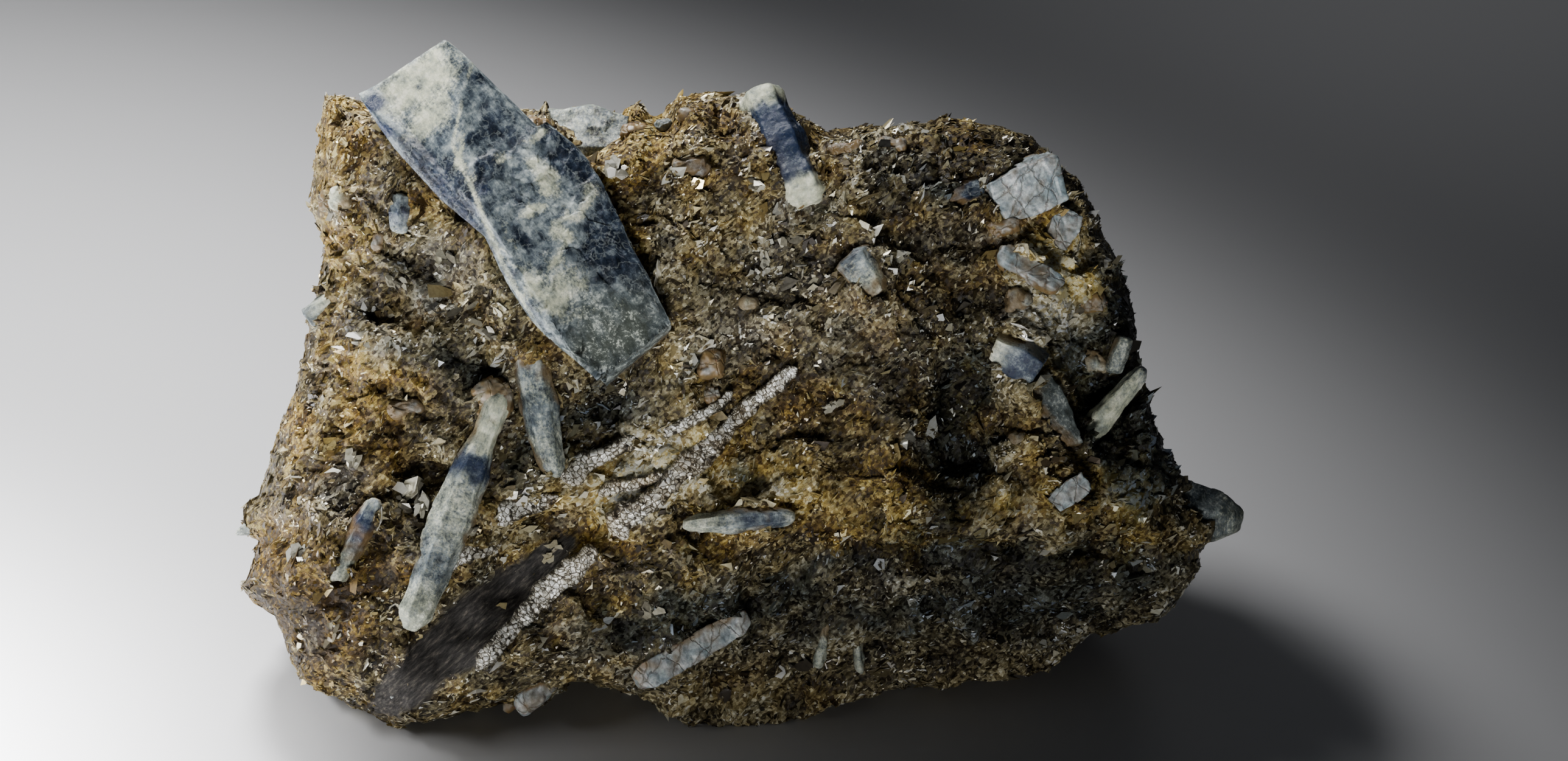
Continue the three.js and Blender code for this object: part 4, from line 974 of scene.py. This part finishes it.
# hair cracks: thin lines along two cleavages nearly square to each other, a little crooked
crook = noise(tree, 0.9, 4, 0.6, place).outputs[0]
crack = 1.0
for way in ((0.62, 0.22, 0.2), (-0.16, 0.50, 0.2), (0.33, 0.42, 0)):
    over = linked(tree, "ShaderNodeVectorMath", {0: place, 1: way},
                  operation="DOT_PRODUCT").outputs["Value"]
    over = maths(tree, "PINGPONG", maths(tree, "MULTIPLY_ADD", crook, 0.7, over), 0.5)
    crack = maths(tree, "MINIMUM", crack, maths(tree, "MULTIPLY", over, 20.0))
    crook = maths(tree, "MULTIPLY_ADD", crook, -0.8, 0.7)
clouded = ramp(tree, noise(tree, 2.6, 6, 0.7, place).outputs[0], [
    (0.34, (0.20, 0.225, 0.235)), (0.5, (0.47, 0.505, 0.505)), (0.64, (0.84, 0.86, 0.82))])
broad = maths(tree, "MULTIPLY_ADD", noise(tree, 0.55, 2, 0.5, place).outputs[0], 3.4, -1.2)
clouded = blended(tree, broad, clouded, (0.40, 0.49, 0.54, 1), "MULTIPLY")
split = blended(tree, maths(tree, "MULTIPLY_ADD", crack, 0.7, 0.3), (0.10, 0.095, 0.085, 1), clouded)
ochre = blended(tree, crook, (0.08, 0.040, 0.008, 1), (0.36, 0.23, 0.06, 1))
dirt = blended(tree, maths(tree, "MULTIPLY", field(tree, "dirt"), 0.92), split, ochre)
tree.links.new(dirt, surface.inputs["Base Color"])
surface.inputs["Roughness"].default_value = 0.42
surface.inputs["Subsurface Weight"].default_value = 0.1
surface.inputs["Subsurface Scale"].default_value = 0.0006
bump = linked(tree, "ShaderNodeBump", {"Height": crack, "Strength": 0.6, "Distance": 0.00008})
tree.links.new(bump.outputs[0], surface.inputs["Normal"])
for number, (name, (turn, pitch, roll, stained)) in enumerate(FELDSPARS.items()):
    skin, skin_faces, own = crystal_skin(name, crystal_axes(turn, pitch, roll), 0.1, 60)
    number_at, _, gap_at = crazed(own * [1, 1, 0.6], 1.3, 600 + number)
    wear = 0.06 * cloud(skin, 0.9, 620 + number) + 0.12 * (number_at - 0.5)
    wear -= 0.06 * np.clip(1 - gap_at / 0.1, 0, 1)
    skin = skin + outward(skin, skin_faces) * wear[:, None]
    low_down = np.clip(-own[:, 2] / own[:, 2].max() + 0.5, 0, 1)
    dirt_here = stained + (0.3 + 0.9 * cloud(skin, 1.4, 640 + number)) * low_down
    dirt_here = dirt_here + 0.4 * cloud(skin, 0.8, 660)
    touched = min(0.9, 0.5 + stained) * rock_stain(skin, 670 + number)
    dirt_here = np.maximum(np.clip(dirt_here, 0, 1), touched)
    made = piece(name + "_cleaved", skin, skin_faces, True, place=own + 13.1 * number, dirt=dirt_here)
    made.data.materials.append(feldspar)
    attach(made, "root")
    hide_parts(name)


# Mica flakes and crumbs
# What the eye sees of the schist: flakes of weathered biotite and phlogopite about half a millimetre
# across, at all angles, some brown, some golden, some silver. Each is a closed splinter with a flat top and
# a point in the rock. They lie thick on the front down to FRONT_FLAKES_DEPTH, and thinner behind.
FRONT_FLAKES_DEPTH = RIM_DEPTH - 3.5


def strewn(count, dice, rear_share):
    """Places strewn over the chunk in even numbers to its area, fewer on the rear; the surface's normal
    there and how far it stands above or below its neighbourhood."""
    a, b, c, d = (rock_points[rock_faces[:, k]] for k in range(4))
    area = np.linalg.norm(np.cross(c - a, d - b), axis=1)
    area = area * np.where(a[:, 2] > FRONT_FLAKES_DEPTH, 1, rear_share)
    area *= 1 - 0.98 * rock_bare[rock_faces[:, 0]]
    pick = np.searchsorted(np.cumsum(area) / area.sum(), dice.random(count))
    u, v = dice.random((2, count, 1))
    spot = (a[pick] * (1 - u) + b[pick] * u) * (1 - v) + (d[pick] * (1 - u) + c[pick] * u) * v
    return spot, rock_normals[rock_faces[pick, 0]], rock_ridge[rock_faces[pick, 0]]


def splinters(spot, up, along, radius, depth, stretch, corners, dice):
    """Closed splinters: corners at uneven distances round each spot in the plane across its up direction,
    stretched along another direction in that plane, and a point below at the stated depth."""
    count = len(spot)
    two = np.cross(up, along)
    angle = (np.arange(corners) + 0.7 * (dice.random((count, corners)) - 0.5)) * 2 * np.pi / corners
    reach = radius[:, None] * (0.75 + 0.5 * dice.random((count, corners)))
    rim = (spot[:, None] + (reach * np.cos(angle) * stretch[:, None])[..., None] * along[:, None]
           + (reach * np.sin(angle))[..., None] * two[:, None])
    rim += up[:, None] * (0.16 * radius[:, None, None] * (dice.random((count, corners, 1)) - 0.5))
    foot = spot - up * depth[:, None]
    points = np.concatenate([rim, foot[:, None]], 1)
    top = [(0, k, k + 1) for k in range(1, corners - 1)]
    skirt = [(corners, (k + 1) % corners, k) for k in range(corners)]
    faces = np.arange(count)[:, None, None] * (corners + 1) + np.array(top + skirt)
    return points, faces


mica_flake, tree, surface = new_material("mica_flake")
streaks = noise(tree, 5200, 2, 0.6).outputs[0]
tone = maths(tree, "MULTIPLY_ADD", streaks, 0.3, maths(tree, "ADD", field(tree, "tone"), -0.15))
coloured = linked(tree, "ShaderNodeGroup", {
    "Tone": tone, "Rust": field(tree, "rust"), "Pale": field(tree, "pale"), "ShadeAndDark": field(tree, "dark")},
    node_tree=mica_colour)
tree.links.new(coloured.outputs["Colour"], surface.inputs["Base Color"])
tree.links.new(maths(tree, "MULTIPLY_ADD", field(tree, "dull"), 0.42, 0.16), surface.inputs["Roughness"])
surface.inputs["Metallic"].default_value = 0.35
surface.inputs["Coat Weight"].default_value = 0.3
surface.inputs["Coat Roughness"].default_value = 0.2


def unit(vectors):
    """Vectors scaled to length one."""
    return vectors / np.maximum(np.linalg.norm(vectors, axis=1, keepdims=True), 1e-9)


def foliation(points):
    """Direction across the mica sheets, which swings slowly from place to place."""
    swing = np.stack([cloud(points, 5.0, 741 + k, 2) for k in range(3)], -1)
    return unit(swing * 1.2 + [-0.55, 0.6, 0.35])


def flake_piece(name, count, radius_mid, radius_spread, corners, seed, rear_share, lift, wild, drawn):
    """One joined mesh of splinters strewn over the chunk, each with one tone and the rust, dust and painted
    shade of its place. A flake lies between the surface and the foliation, drawn out along the grain, and
    sinks the more it stands on edge."""
    dice = np.random.default_rng(seed)
    spot, normal, ridge = strewn(count, dice, rear_share)
    radius = np.clip(radius_mid * np.exp(radius_spread * dice.normal(size=count)), 0.05, 0.5)
    sheets = foliation(spot)
    sheets *= np.where((sheets * normal).sum(1, keepdims=True) < 0, -1, 1)
    sorted_share = np.clip(0.35 + 0.55 * cloud(spot, 3.5, 751, 2), 0, 0.8)[:, None]
    up = unit(normal * (1 - sorted_share) + sheets * sorted_share + wild * dice.normal(size=(count, 3)))
    facing = (up * normal).sum(1, keepdims=True)
    up *= np.where(facing < 0, -1, 1)
    way = flow_way(spot) + 0.2 * dice.normal(size=(count, 3))
    along = unit(way - up * (way * up).sum(1, keepdims=True))
    stretch = 1 + drawn * dice.random(count) ** 2
    poke = radius * np.hypot(stretch * (along * normal).sum(1), (np.cross(up, along) * normal).sum(1))
    sunk = 0.85 * poke - lift * radius * (dice.random(count) - 0.4)
    spot = spot - normal * sunk[:, None]
    keep = np.ones(count, bool)
    for crystal in crystal_solids:
        keep &= outside(spot, crystal) > (0.02 if crystal == "large_sapphire" else -0.12) + 0.25 * radius
    spot, up, along, radius, ridge = spot[keep], up[keep], along[keep], radius[keep], ridge[keep]
    normal_out = normal[keep, 2]
    stretch, count = stretch[keep], len(spot)
    depth = radius * (0.5 + 0.5 * dice.random(count))
    points, faces = splinters(spot, up, along, radius, depth, stretch, corners, dice)
    # Painted light and shade by height, as on the rock.
    tone = np.clip(0.53 + 0.23 * dice.normal(size=count) + 0.28 * cloud(spot, 1.7, 703, 3) + 0.12 * ridge,
                   0.02, 1)
    # The zones of LIGHTER: partly painted light and shade, as on the rock.
    tone = tone + patches(spot[:, 0], spot[:, 1], LIGHTER) * (normal_out > 0)
    # About one flake in fourteen is made near white: silver mica, and partly painted glints.
    tone = np.where(dice.random(count) < 0.07, 0.8 + 0.2 * dice.random(count), tone)
    # dark carries the painted shade of the place.
    rust, pale, dark = stains_and_shade(spot)
    share = {
        "tone": tone, "rust": np.clip(rust * (0.5 + dice.random(count)), 0, 1),
        "pale": pale * (dice.random(count) < 0.3 + 0.7 * pale), "dark": dark, "dull": dice.random(count)}
    share = {label: np.repeat(values, corners + 1) for label, values in share.items()}
    made = piece(name, points, faces, **share)
    made.data.materials.append(mica_flake)
    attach(made, "root")


flake_piece("mica_flakes_coarse", 10000, 0.27, 0.4, 5, 711, 0.5, 0.2, 0.22, 1.6)
flake_piece("mica_flakes_middle", 31000, 0.17, 0.3, 4, 721, 0.4, 0.3, 0.3, 1.8)
flake_piece("mica_flakes_small", 31000, 0.125, 0.3, 4, 731, 0.3, 0.45, 0.35, 2.2)
flake_piece("mica_flakes_fine", 42000, 0.095, 0.3, 3, 737, 0.1, 0.6, 0.4, 2.2)
flake_piece("mica_flakes_finest", 24000, 0.078, 0.3, 3, 739, 0.0, 0.8, 0.4, 2.0)


# Single large flakes
# A few mica flakes and feldspar chips a millimetre or more across, each catching the light in its own
# place. Their high tones are partly silver mica and partly painted glints. They lie in the schist like the
# small ones.
# Right, up, half width, stretch, turn in the face, tilt to the right, tilt up, tone, rust, pale.
LARGE_FLAKES = np.array([
    (-7.0, 13.7, 0.52, 1.2, 10, 0.0, 0.1, 1.0, 0.0, 0.8),
    (2.15, 7.4, 0.42, 1.1, 60, -0.1, 0.1, 0.95, 0, 0.9),
    (-16.7, 5.2, 0.28, 2.4, 10, -0.2, 0.2, 0.95, 0, 0.6),
    (-21.6, 2.9, 0.40, 2.6, -15, -0.1, 0.3, 1.0, 0, 0.8),
    (-19.9, -6.0, 0.62, 1.5, 35, -0.3, 0.2, 0.95, 0.1, 0.7),
    (-18.9, -6.9, 0.42, 1.8, 60, -0.1, 0.2, 0.9, 0, 0.8),
    (-20.4, -7.1, 0.36, 1.5, -20, 0.2, 0.2, 0.8, 0.2, 0.6),
    (-26.5, -10.0, 0.50, 1.5, 10, -0.3, 0.1, 1.0, 0, 0.9),
    (10.5, 8.25, 0.38, 1.6, -10, 0, 0.2, 0.95, 0, 0.8), (21.7, 4.8, 0.24, 3.0, 50, 0, 0.1, 0.9, 0.2, 0.6),
    (11.0, -2.8, 0.36, 1.1, 0, 0, 0.2, 0.95, 0, 1), (12.3, 11.7, 0.28, 1.3, 20, 0, 0.2, 0.8, 0.2, 0.6),
    (-24.4, -14.6, 0.34, 2.2, 75, -0.3, 0, 1.0, 0.4, 0.6),
    (-27.0, -15.6, 0.34, 1.6, 50, -0.3, 0, 0.95, 0.6, 0.4),
    (-17.0, -9.7, 0.34, 2.0, 40, -0.2, 0.2, 0.9, 0.2, 0.6),
    (-15.9, -8.6, 0.30, 2.4, 30, -0.2, 0.3, 0.9, 0.1, 0.7),
    (-23.4, -4.4, 0.34, 1.8, 60, -0.3, 0.1, 0.9, 0.1, 0.7),
    (-20.6, 6.9, 0.30, 2.0, -50, -0.2, 0.2, 0.9, 0, 0.6),
    (-17.6, 8.0, 0.34, 1.8, -45, -0.2, 0.2, 0.9, 0, 0.6),
    (-14.8, 3.6, 0.30, 2.2, -40, -0.2, 0.2, 0.9, 0, 0.6), (1.6, 12.6, 0.30, 1.6, 0, 0, 0.2, 0.9, 0, 0.6),
    (3.8, 9.4, 0.34, 1.4, 30, 0, 0.1, 0.85, 0, 0.6), (6.3, -0.9, 0.26, 1.6, 20, 0, 0.2, 0.9, 0, 0.6),
    (16.6, 1.9, 0.30, 1.6, 40, 0, 0.2, 0.85, 0, 0.6), (19.8, -4.2, 0.40, 1.2, 0, 0, 0.2, 0.8, 0.6, 0.2),
    (20.9, -5.6, 0.34, 1.4, 30, 0, 0.2, 0.85, 0.6, 0.2),
    (-10.9, -9.9, 0.30, 2.2, 30, -0.1, 0.2, 0.9, 0.4, 0.5),
    (-4.9, -13.4, 0.46, 1.7, 0, 0, 0.2, 0.7, 0.2, 0.7)])
# Each is broken up into a cluster of smaller flakes.
FLAKES_IN_CLUSTER, LARGE_FLAKE_CORNERS = 10, 5


def on_face(right, up, rise):
    """Points at a height over the smooth broad face."""
    return np.stack([right, up, surface_depth(right, up) + rise], -1)


dice = np.random.default_rng(901)
cluster = np.repeat(LARGE_FLAKES, FLAKES_IN_CLUSTER, 0)
count = len(cluster)
right, high, radius, stretch, turn, lean_right, lean_up, tone, rust, pale = cluster.T
turned = np.radians(turn)
slip, slide = 0.6 * radius * dice.normal(size=(2, count))
right = right + slip * stretch * np.cos(turned) - slide * np.sin(turned)
high = high + slip * stretch * np.sin(turned) + slide * np.cos(turned)
radius = radius * (0.25 + 0.6 * dice.random(count))
facing = unit(np.stack([lean_right, lean_up, np.ones(count)], -1) + 0.26 * dice.normal(size=(count, 3)))
way = np.stack([np.cos(turned), np.sin(turned), 0 * turned], -1) + 0.3 * dice.normal(size=(count, 3))
way = unit(way - facing * (way * facing).sum(1, keepdims=True))
spot = on_face(right, high, 0.3 + 0.12 * dice.normal(size=count))
points, faces = splinters(spot, facing, way, radius, 3 * radius, stretch, LARGE_FLAKE_CORNERS, dice)
tone = np.clip(tone - 0.06 - 0.6 * dice.random(count) ** 1.3, 0, 1)
share = {"tone": tone, "rust": rust, "pale": pale, "dark": 0 * tone, "dull": 0.3 + 0 * tone}
share = {label: np.repeat(values, LARGE_FLAKE_CORNERS + 1) for label, values in share.items()}
large_flakes = piece("mica_flakes_single", points, faces, **share)
large_flakes.data.materials.append(mica_flake)
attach(large_flakes, "root")


# Knobs and pebbles
# Rounded lumps of altered feldspar, stained cream and orange, and small stubs of cloudy sapphire that stand
# a little out of the schist. They grew in it and broke off with it.
# Right, up, half width, half height, turn, how far it stands out, stain.
FELDSPAR_KNOBS = [
    (-12.0, 16.2, 1.0, 0.9, 0, 0.2, 1.0), (-5.9, 16.0, 1.0, 0.6, 10, 0.0, 1.05),
    (-2.3, 17.0, 0.9, 0.5, -10, 0.0, 1.05), (10.1, 15.2, 0.9, 0.6, 0, 0.2, 0.6),
    (22.6, 5.5, 0.75, 0.65, 0, 0.1, 0.6), (-25.0, 11.9, 0.5, 0.7, 0, 0.2, 0.6),
    (7.2, 15.0, 1.1, 0.45, 10, 0.1, 0.9), (17.0, 10.2, 1.1, 0.55, 10, 0.1, 0.5),
    (-14.5, -0.4, 1.15, 1.2, 10, 0.75, 0.9), (-1.0, 1.7, 0.85, 0.95, 0, 0.1, 0.45),
    (-1.0, -0.6, 0.5, 1.0, 10, 0.1, 0.7), (4.6, 12.2, 1.0, 0.7, 40, 0.1, 0.4),
    (-11.9, -18.5, 0.8, 1.8, -43, 0.6, 0.3)]
SAPPHIRE_KNOBS = [
    (-4.1, 16.5, 0.5, 0.45, 0, 0.3, 0.3), (-2.1, 13.9, 0.9, 0.6, 0, 0.1, 0.1),
    (-19.9, -1.05, 1.1, 0.55, 10, 0.2, 0.2), (-24.0, 12.0, 0.75, 0.75, 0, 0.3, 0.9),
    (1.2, 5.4, 0.5, 0.4, 0, 0.1, 0.6), (17.9, -3.05, 0.7, 0.6, 0, 0.1, 0.4),
    (17.8, 5.6, 0.8, 0.8, -20, 0.0, 0.35), (22.9, 1.9, 0.75, 0.7, 0, 0.3, 0.5),
    (-21.6, 9.3, 0.4, 0.6, -20, 0.2, 0.2), (5.8, -15.6, 0.35, 1.5, -12, 0.6, 0.5),
    (8.0, -15.9, 0.28, 1.7, 5, 0.6, 0.5)]


def joined_knobs(table, seed):
    """One joined mesh of lumps: each a box grid drawn in to a squarish ball (the point over the sum of the
    cubes of its shares, to the power a third), turned, chipped and set into the face. Also each point's
    stain."""
    points, faces, stained, start = [], [], [], 0
    grid, grid_sides = box_grid(np.array([-1.0, -1, -1]), np.array([1.0, 1, 1]), 0.1)
    ball = grid / ((np.abs(grid) ** 3).sum(1) ** (1 / 3))[:, None]
    out = ball / np.linalg.norm(ball, axis=1, keepdims=True)
    for number, (x, y, wide, tall, turn, stand, stain_here) in enumerate(table):
        own = ball * [wide, tall, 0.5 * (wide + tall)]
        lump = np.stack([*along_across(own[:, 0], own[:, 1], -turn), own[:, 2]], -1)
        lump = lump + on_face(x, y, stand - 0.25 * (wide + tall))
        chipped = 0.34 * min(wide, tall) * (crazed(lump, 0.7, seed + number)[0] - 0.5)
        lump += out * (chipped + 0.12 * cloud(lump, 0.8, seed + 40, 3))[:, None]
        points.append(lump)
        faces.append(grid_sides + start)
        stained.append(np.full(len(lump), stain_here))
        start += len(lump)
    return np.concatenate(points), np.concatenate(faces), np.concatenate(stained)


points, faces, stained = joined_knobs(FELDSPAR_KNOBS, 911)
dirt = np.clip(stained + 0.35 * cloud(points, 0.7, 931), 0, 1)
made = piece("feldspar_knobs", points, faces, True, place=points,
             dirt=np.maximum(dirt, rock_stain(points, 935)))
made.data.materials.append(feldspar)
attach(made, "root")
points, faces, cream = joined_knobs(SAPPHIRE_KNOBS, 941)
made = piece("sapphire_stubs", points, faces, True, place=points, cream=cream, navy=0.5 * (1 - cream),
             blue=0.3 * (1 - cream), clear=0 * cream, stain=rock_stain(points, 951))
made.data.materials.append(small_material)
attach(made, "root")


# Thick books of mica
# Stacks of mica sheets standing on edge in the rock. Weathering has frayed and crumpled them, so each shows
# as a silvery ribbon of small broken plates with dark gaps between.
# Name: its line over the face, its width at both ends, and how far it stands out.
MICA_BOOKS = {
    "mica_book_upper": ([(-10.6, -5.5), (-8.4, -4.2), (-5.6, -3.0), (-3.4, -2.3), (-1.0, -1.2), (0.4, 0.2)],
                        (1.5, 0.5), 0.7),
    "mica_book_middle": ([(4.4, 1.6), (3.4, 0.9), (1.9, -0.3), (0.4, -1.6), (-1.0, -3.2), (-2.2, -4.5),
                          (-4.2, -6.2), (-6.0, -7.6), (-7.6, -9.0)], (0.7, 2.0), 0.75),
    "mica_book_lower": ([(-7.9, -9.5), (-11, -12.2), (-13.4, -14.6), (-15.8, -17.4)], (1.7, 0.9), 0.7),
    "mica_ribbon_left": ([(-14.8, -7.9), (-12.5, -7.0), (-10.4, -6.4)], (1.4, 1.0), 0.65),
    "mica_ribbon_short": ([(-8.2, -6.3), (-6.0, -5.7), (-4.0, -5.0)], (1.1, 0.8), 0.6),
    "mica_ribbon_foot": ([(-17.6, -11.0), (-16.2, -10.0), (-13.9, -9.3)], (1.1, 0.9), 0.6)}
BOOK_STEP = 0.09


def along_line(line, share):
    """Points and directions at shares of the way along a line of straight stretches, rounded a little."""
    line = np.array(line, float)
    fine = np.linspace(0, 1, 200)
    knots = np.linspace(0, 1, len(line))
    xy = np.stack([np.interp(fine, knots, line[:, k]) for k in (0, 1)], -1)
    padded = np.concatenate([np.repeat(xy[:1], 20, 0), xy, np.repeat(xy[-1:], 20, 0)])
    xy = np.stack([np.convolve(padded[:, k], np.ones(41) / 41, "valid") for k in (0, 1)], -1)
    way = np.gradient(xy, axis=0)
    way /= np.linalg.norm(way, axis=1, keepdims=True)
    return [np.stack([np.interp(share, fine, values[:, k]) for k in (0, 1)], -1) for values in (xy, way)]


def one_channel(tree, colour, channel):
    """One of the three numbers of a shader colour."""
    return linked(tree, "ShaderNodeSeparateColor", {0: colour}).outputs[channel]


book_mica, tree, surface = new_material("silvery_mica_edge")
place = field(tree, "place", "Vector")
crumple = linked(tree, "ShaderNodeVectorMath", {
    0: noise(tree, 1.4, 3, 0.6, place).outputs["Color"], 1: (0.5, 0.5, 0.5), 2: place},
    operation="MULTIPLY_ADD")
plates = linked(tree, "ShaderNodeMapping", {"Vector": crumple.outputs[0], "Scale": (3.0, 3.8, 3.0)})
plate = linked(tree, "ShaderNodeTexVoronoi", {"Vector": plates.outputs[0], "Scale": 1.0})
edge = linked(tree, "ShaderNodeTexVoronoi", {"Vector": plates.outputs[0], "Scale": 1.0},
              feature="DISTANCE_TO_EDGE")
shards = linked(tree, "ShaderNodeTexVoronoi", {"Vector": plates.outputs[0], "Scale": 2.1})
tone = maths(tree, "MULTIPLY_ADD", one_channel(tree, plate.outputs["Color"], 0), 0.55, 0.1)
tone = maths(tree, "MULTIPLY_ADD", one_channel(tree, shards.outputs["Color"], 1), 0.5, tone)
tone = maths(tree, "ADD", tone, maths(tree, "MULTIPLY_ADD", field(tree, "worn"), -0.35, -0.02))
tone = maths(tree, "MULTIPLY", tone,
             maths(tree, "MINIMUM", maths(tree, "MULTIPLY_ADD", edge.outputs[0], 7.0, 0.2), 1.0))
shine = ramp(tree, tone, [
    (0.08, (0.016, 0.012, 0.008)), (0.28, (0.16, 0.14, 0.10)), (0.46, (0.58, 0.56, 0.47)),
    (0.7, (0.98, 0.97, 0.92))])
shine = blended(tree, maths(tree, "MULTIPLY", field(tree, "rust"), 0.7), shine, ramp(tree, tone, [
    (0.0, (0.03, 0.015, 0.004)), (0.4, (0.30, 0.19, 0.05)), (0.8, (0.85, 0.72, 0.45))]))
tree.links.new(shine, surface.inputs["Base Color"])
tree.links.new(maths(tree, "MULTIPLY_ADD", tone, -0.25, 0.5), surface.inputs["Roughness"])
surface.inputs["Metallic"].default_value = 0.25
bump = linked(tree, "ShaderNodeBump", {"Height": tone, "Strength": 0.7, "Distance": 0.00012})
tree.links.new(bump.outputs[0], surface.inputs["Normal"])
for number, (name, (line, thick, stand)) in enumerate(MICA_BOOKS.items()):
    length = np.linalg.norm(np.diff(np.array(line), axis=0), axis=1).sum()
    grid, faces = box_grid(np.array([-1.0, 0, -1.6]), np.array([1.0, length, 0]), BOOK_STEP)
    share = grid[:, 1] / length
    spot, way = along_line(line, share)
    across = np.stack([way[:, 1], -way[:, 0]], -1)
    half = (thick[0] + (thick[1] - thick[0]) * share) / 2
    on_edges = np.column_stack([np.sign(grid[:, 0]) * 9, grid[:, 1], 0 * share])
    torn = 0.30 * cloud(on_edges, 1.1, 801 + number, 3)
    ends = np.sqrt(np.clip(np.minimum(share, 1 - share) * length / 0.9 + 0.08, 0, 1))
    half *= np.clip(1 + torn, 0.4, 1.5) * ends
    flat = spot + across * (grid[:, 0] * half)[:, None]
    posts = np.linspace(0, 1, 60)
    plain = surface_depth(*along_line(line, posts)[0].T)
    smoothed = np.convolve(np.pad(plain, 3, "edge"), np.ones(7) / 7, "valid")
    level = np.interp(share, posts, smoothed)
    crown = stand * np.sqrt(np.clip(1.02 - grid[:, 0] ** 4, 0, 1))
    drawn = np.column_stack([grid[:, 0] * half * 1.2, grid[:, 1] * 2.6, 0 * half])
    number_at, _, gap_at = crazed(drawn, 0.5, 821 + number)
    broken_plate = 0.11 * (number_at - 0.5) - 0.06 * np.clip(1 - gap_at / 0.12, 0, 1)
    top = level + crown + broken_plate * np.clip(1.3 - np.abs(grid[:, 0]), 0, 1)
    points = np.column_stack([flat, np.where(grid[:, 2] > -0.01, top, level + 0.6 * crown + grid[:, 2])])
    own = np.column_stack([grid[:, 0] * half, grid[:, 1], grid[:, 2]]) + 7.7 * number
    worn_here = np.clip(np.abs(grid[:, 0]) * 1.2 - 0.5 + 0.5 * cloud(own, 0.7, 841, 2), 0, 1)
    made = piece(name + "_plates", points, faces, True, place=own, worn=worn_here,
                 rust=0.8 * stain(points, RUST, 101))
    made.data.materials.append(book_mica)
    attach(made, "root")
    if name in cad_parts:
        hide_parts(name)


# Floor, light and camera
# A plain pale sheet. The key lamp is above and behind to the left, two low lamps light the sheet and the
# left side, and a faint one in front and a fainter one behind fill the shadows.
floor_mesh = bpy.data.meshes.new("floor")
floor_mesh.from_pydata([(-2, -2, 0), (2, -2, 0), (2, 2, 0), (-2, 2, 0)], [], [(0, 1, 2, 3)])
floor = bpy.data.objects.new("floor", floor_mesh)
bpy.context.collection.objects.link(floor)
paper, tree, surface = new_material("pale_paper")
surface.inputs["Base Color"].default_value = (0.52, 0.52, 0.53, 1)
surface.inputs["Roughness"].default_value = 0.9
floor.data.materials.append(paper)


def toward(thing, place, target):
    """Puts a lamp or camera at a place, looking at a target."""
    thing.location = place
    thing.rotation_euler = (Vector(target) - Vector(place)).to_track_quat("-Z", "Y").to_euler()


def lamp(name, place, target, size, power, spread):
    """A square soft lamp, itself unseen, whose light spreads over an angle in degrees."""
    data = bpy.data.lights.new(name, "AREA")
    data.size, data.energy, data.spread = size, power, np.radians(spread)
    made = bpy.data.objects.new(name, data)
    bpy.context.collection.objects.link(made)
    toward(made, place, target)
    made.visible_camera = False


lamp("key", (-0.046, 0.050, 0.112), (-0.080, -0.022, 0), 0.04, 0.225, 119)
lamp("pool", (-0.088, -0.030, 0.045), (-0.084, -0.030, 0), 0.04, 0.66, 92)
lamp("side", (-0.118, -0.060, 0.058), (-0.114, -0.058, 0), 0.05, 0.26, 120)
lamp("front", (-0.02, -0.28, 0.02), (-0.005, 0, 0.085), 0.10, 0.165, 40)
lamp("back", (0.055, 0.110, 0.080), (0.045, 0.080, 0), 0.05, 0.004, 120)
world = bpy.data.worlds.new("studio")
world.use_nodes = True
world.node_tree.nodes["Background"].inputs[0].default_value = (0.024, 0.026, 0.030, 1)
bpy.context.scene.world = world

# The lens and the film's width, how much of the face the view takes in and its middle, in millimetres.
LENS, FILM, VIEW_WIDTH = 200, 36, 96.8
AIM = np.array([3.39, 0.70, 1.5])
lens_data = bpy.data.cameras.new("camera")
lens_data.lens = LENS
lens_data.sensor_width = FILM
lens_data.clip_start = 0.01
camera = bpy.data.objects.new("camera", lens_data)
bpy.context.collection.objects.link(camera)
distance = VIEW_WIDTH / FILM * LENS
toward(camera, tuple(stood_up(AIM + [0, 0, distance])), tuple(stood_up(AIM)))
bpy.context.scene.camera = camera
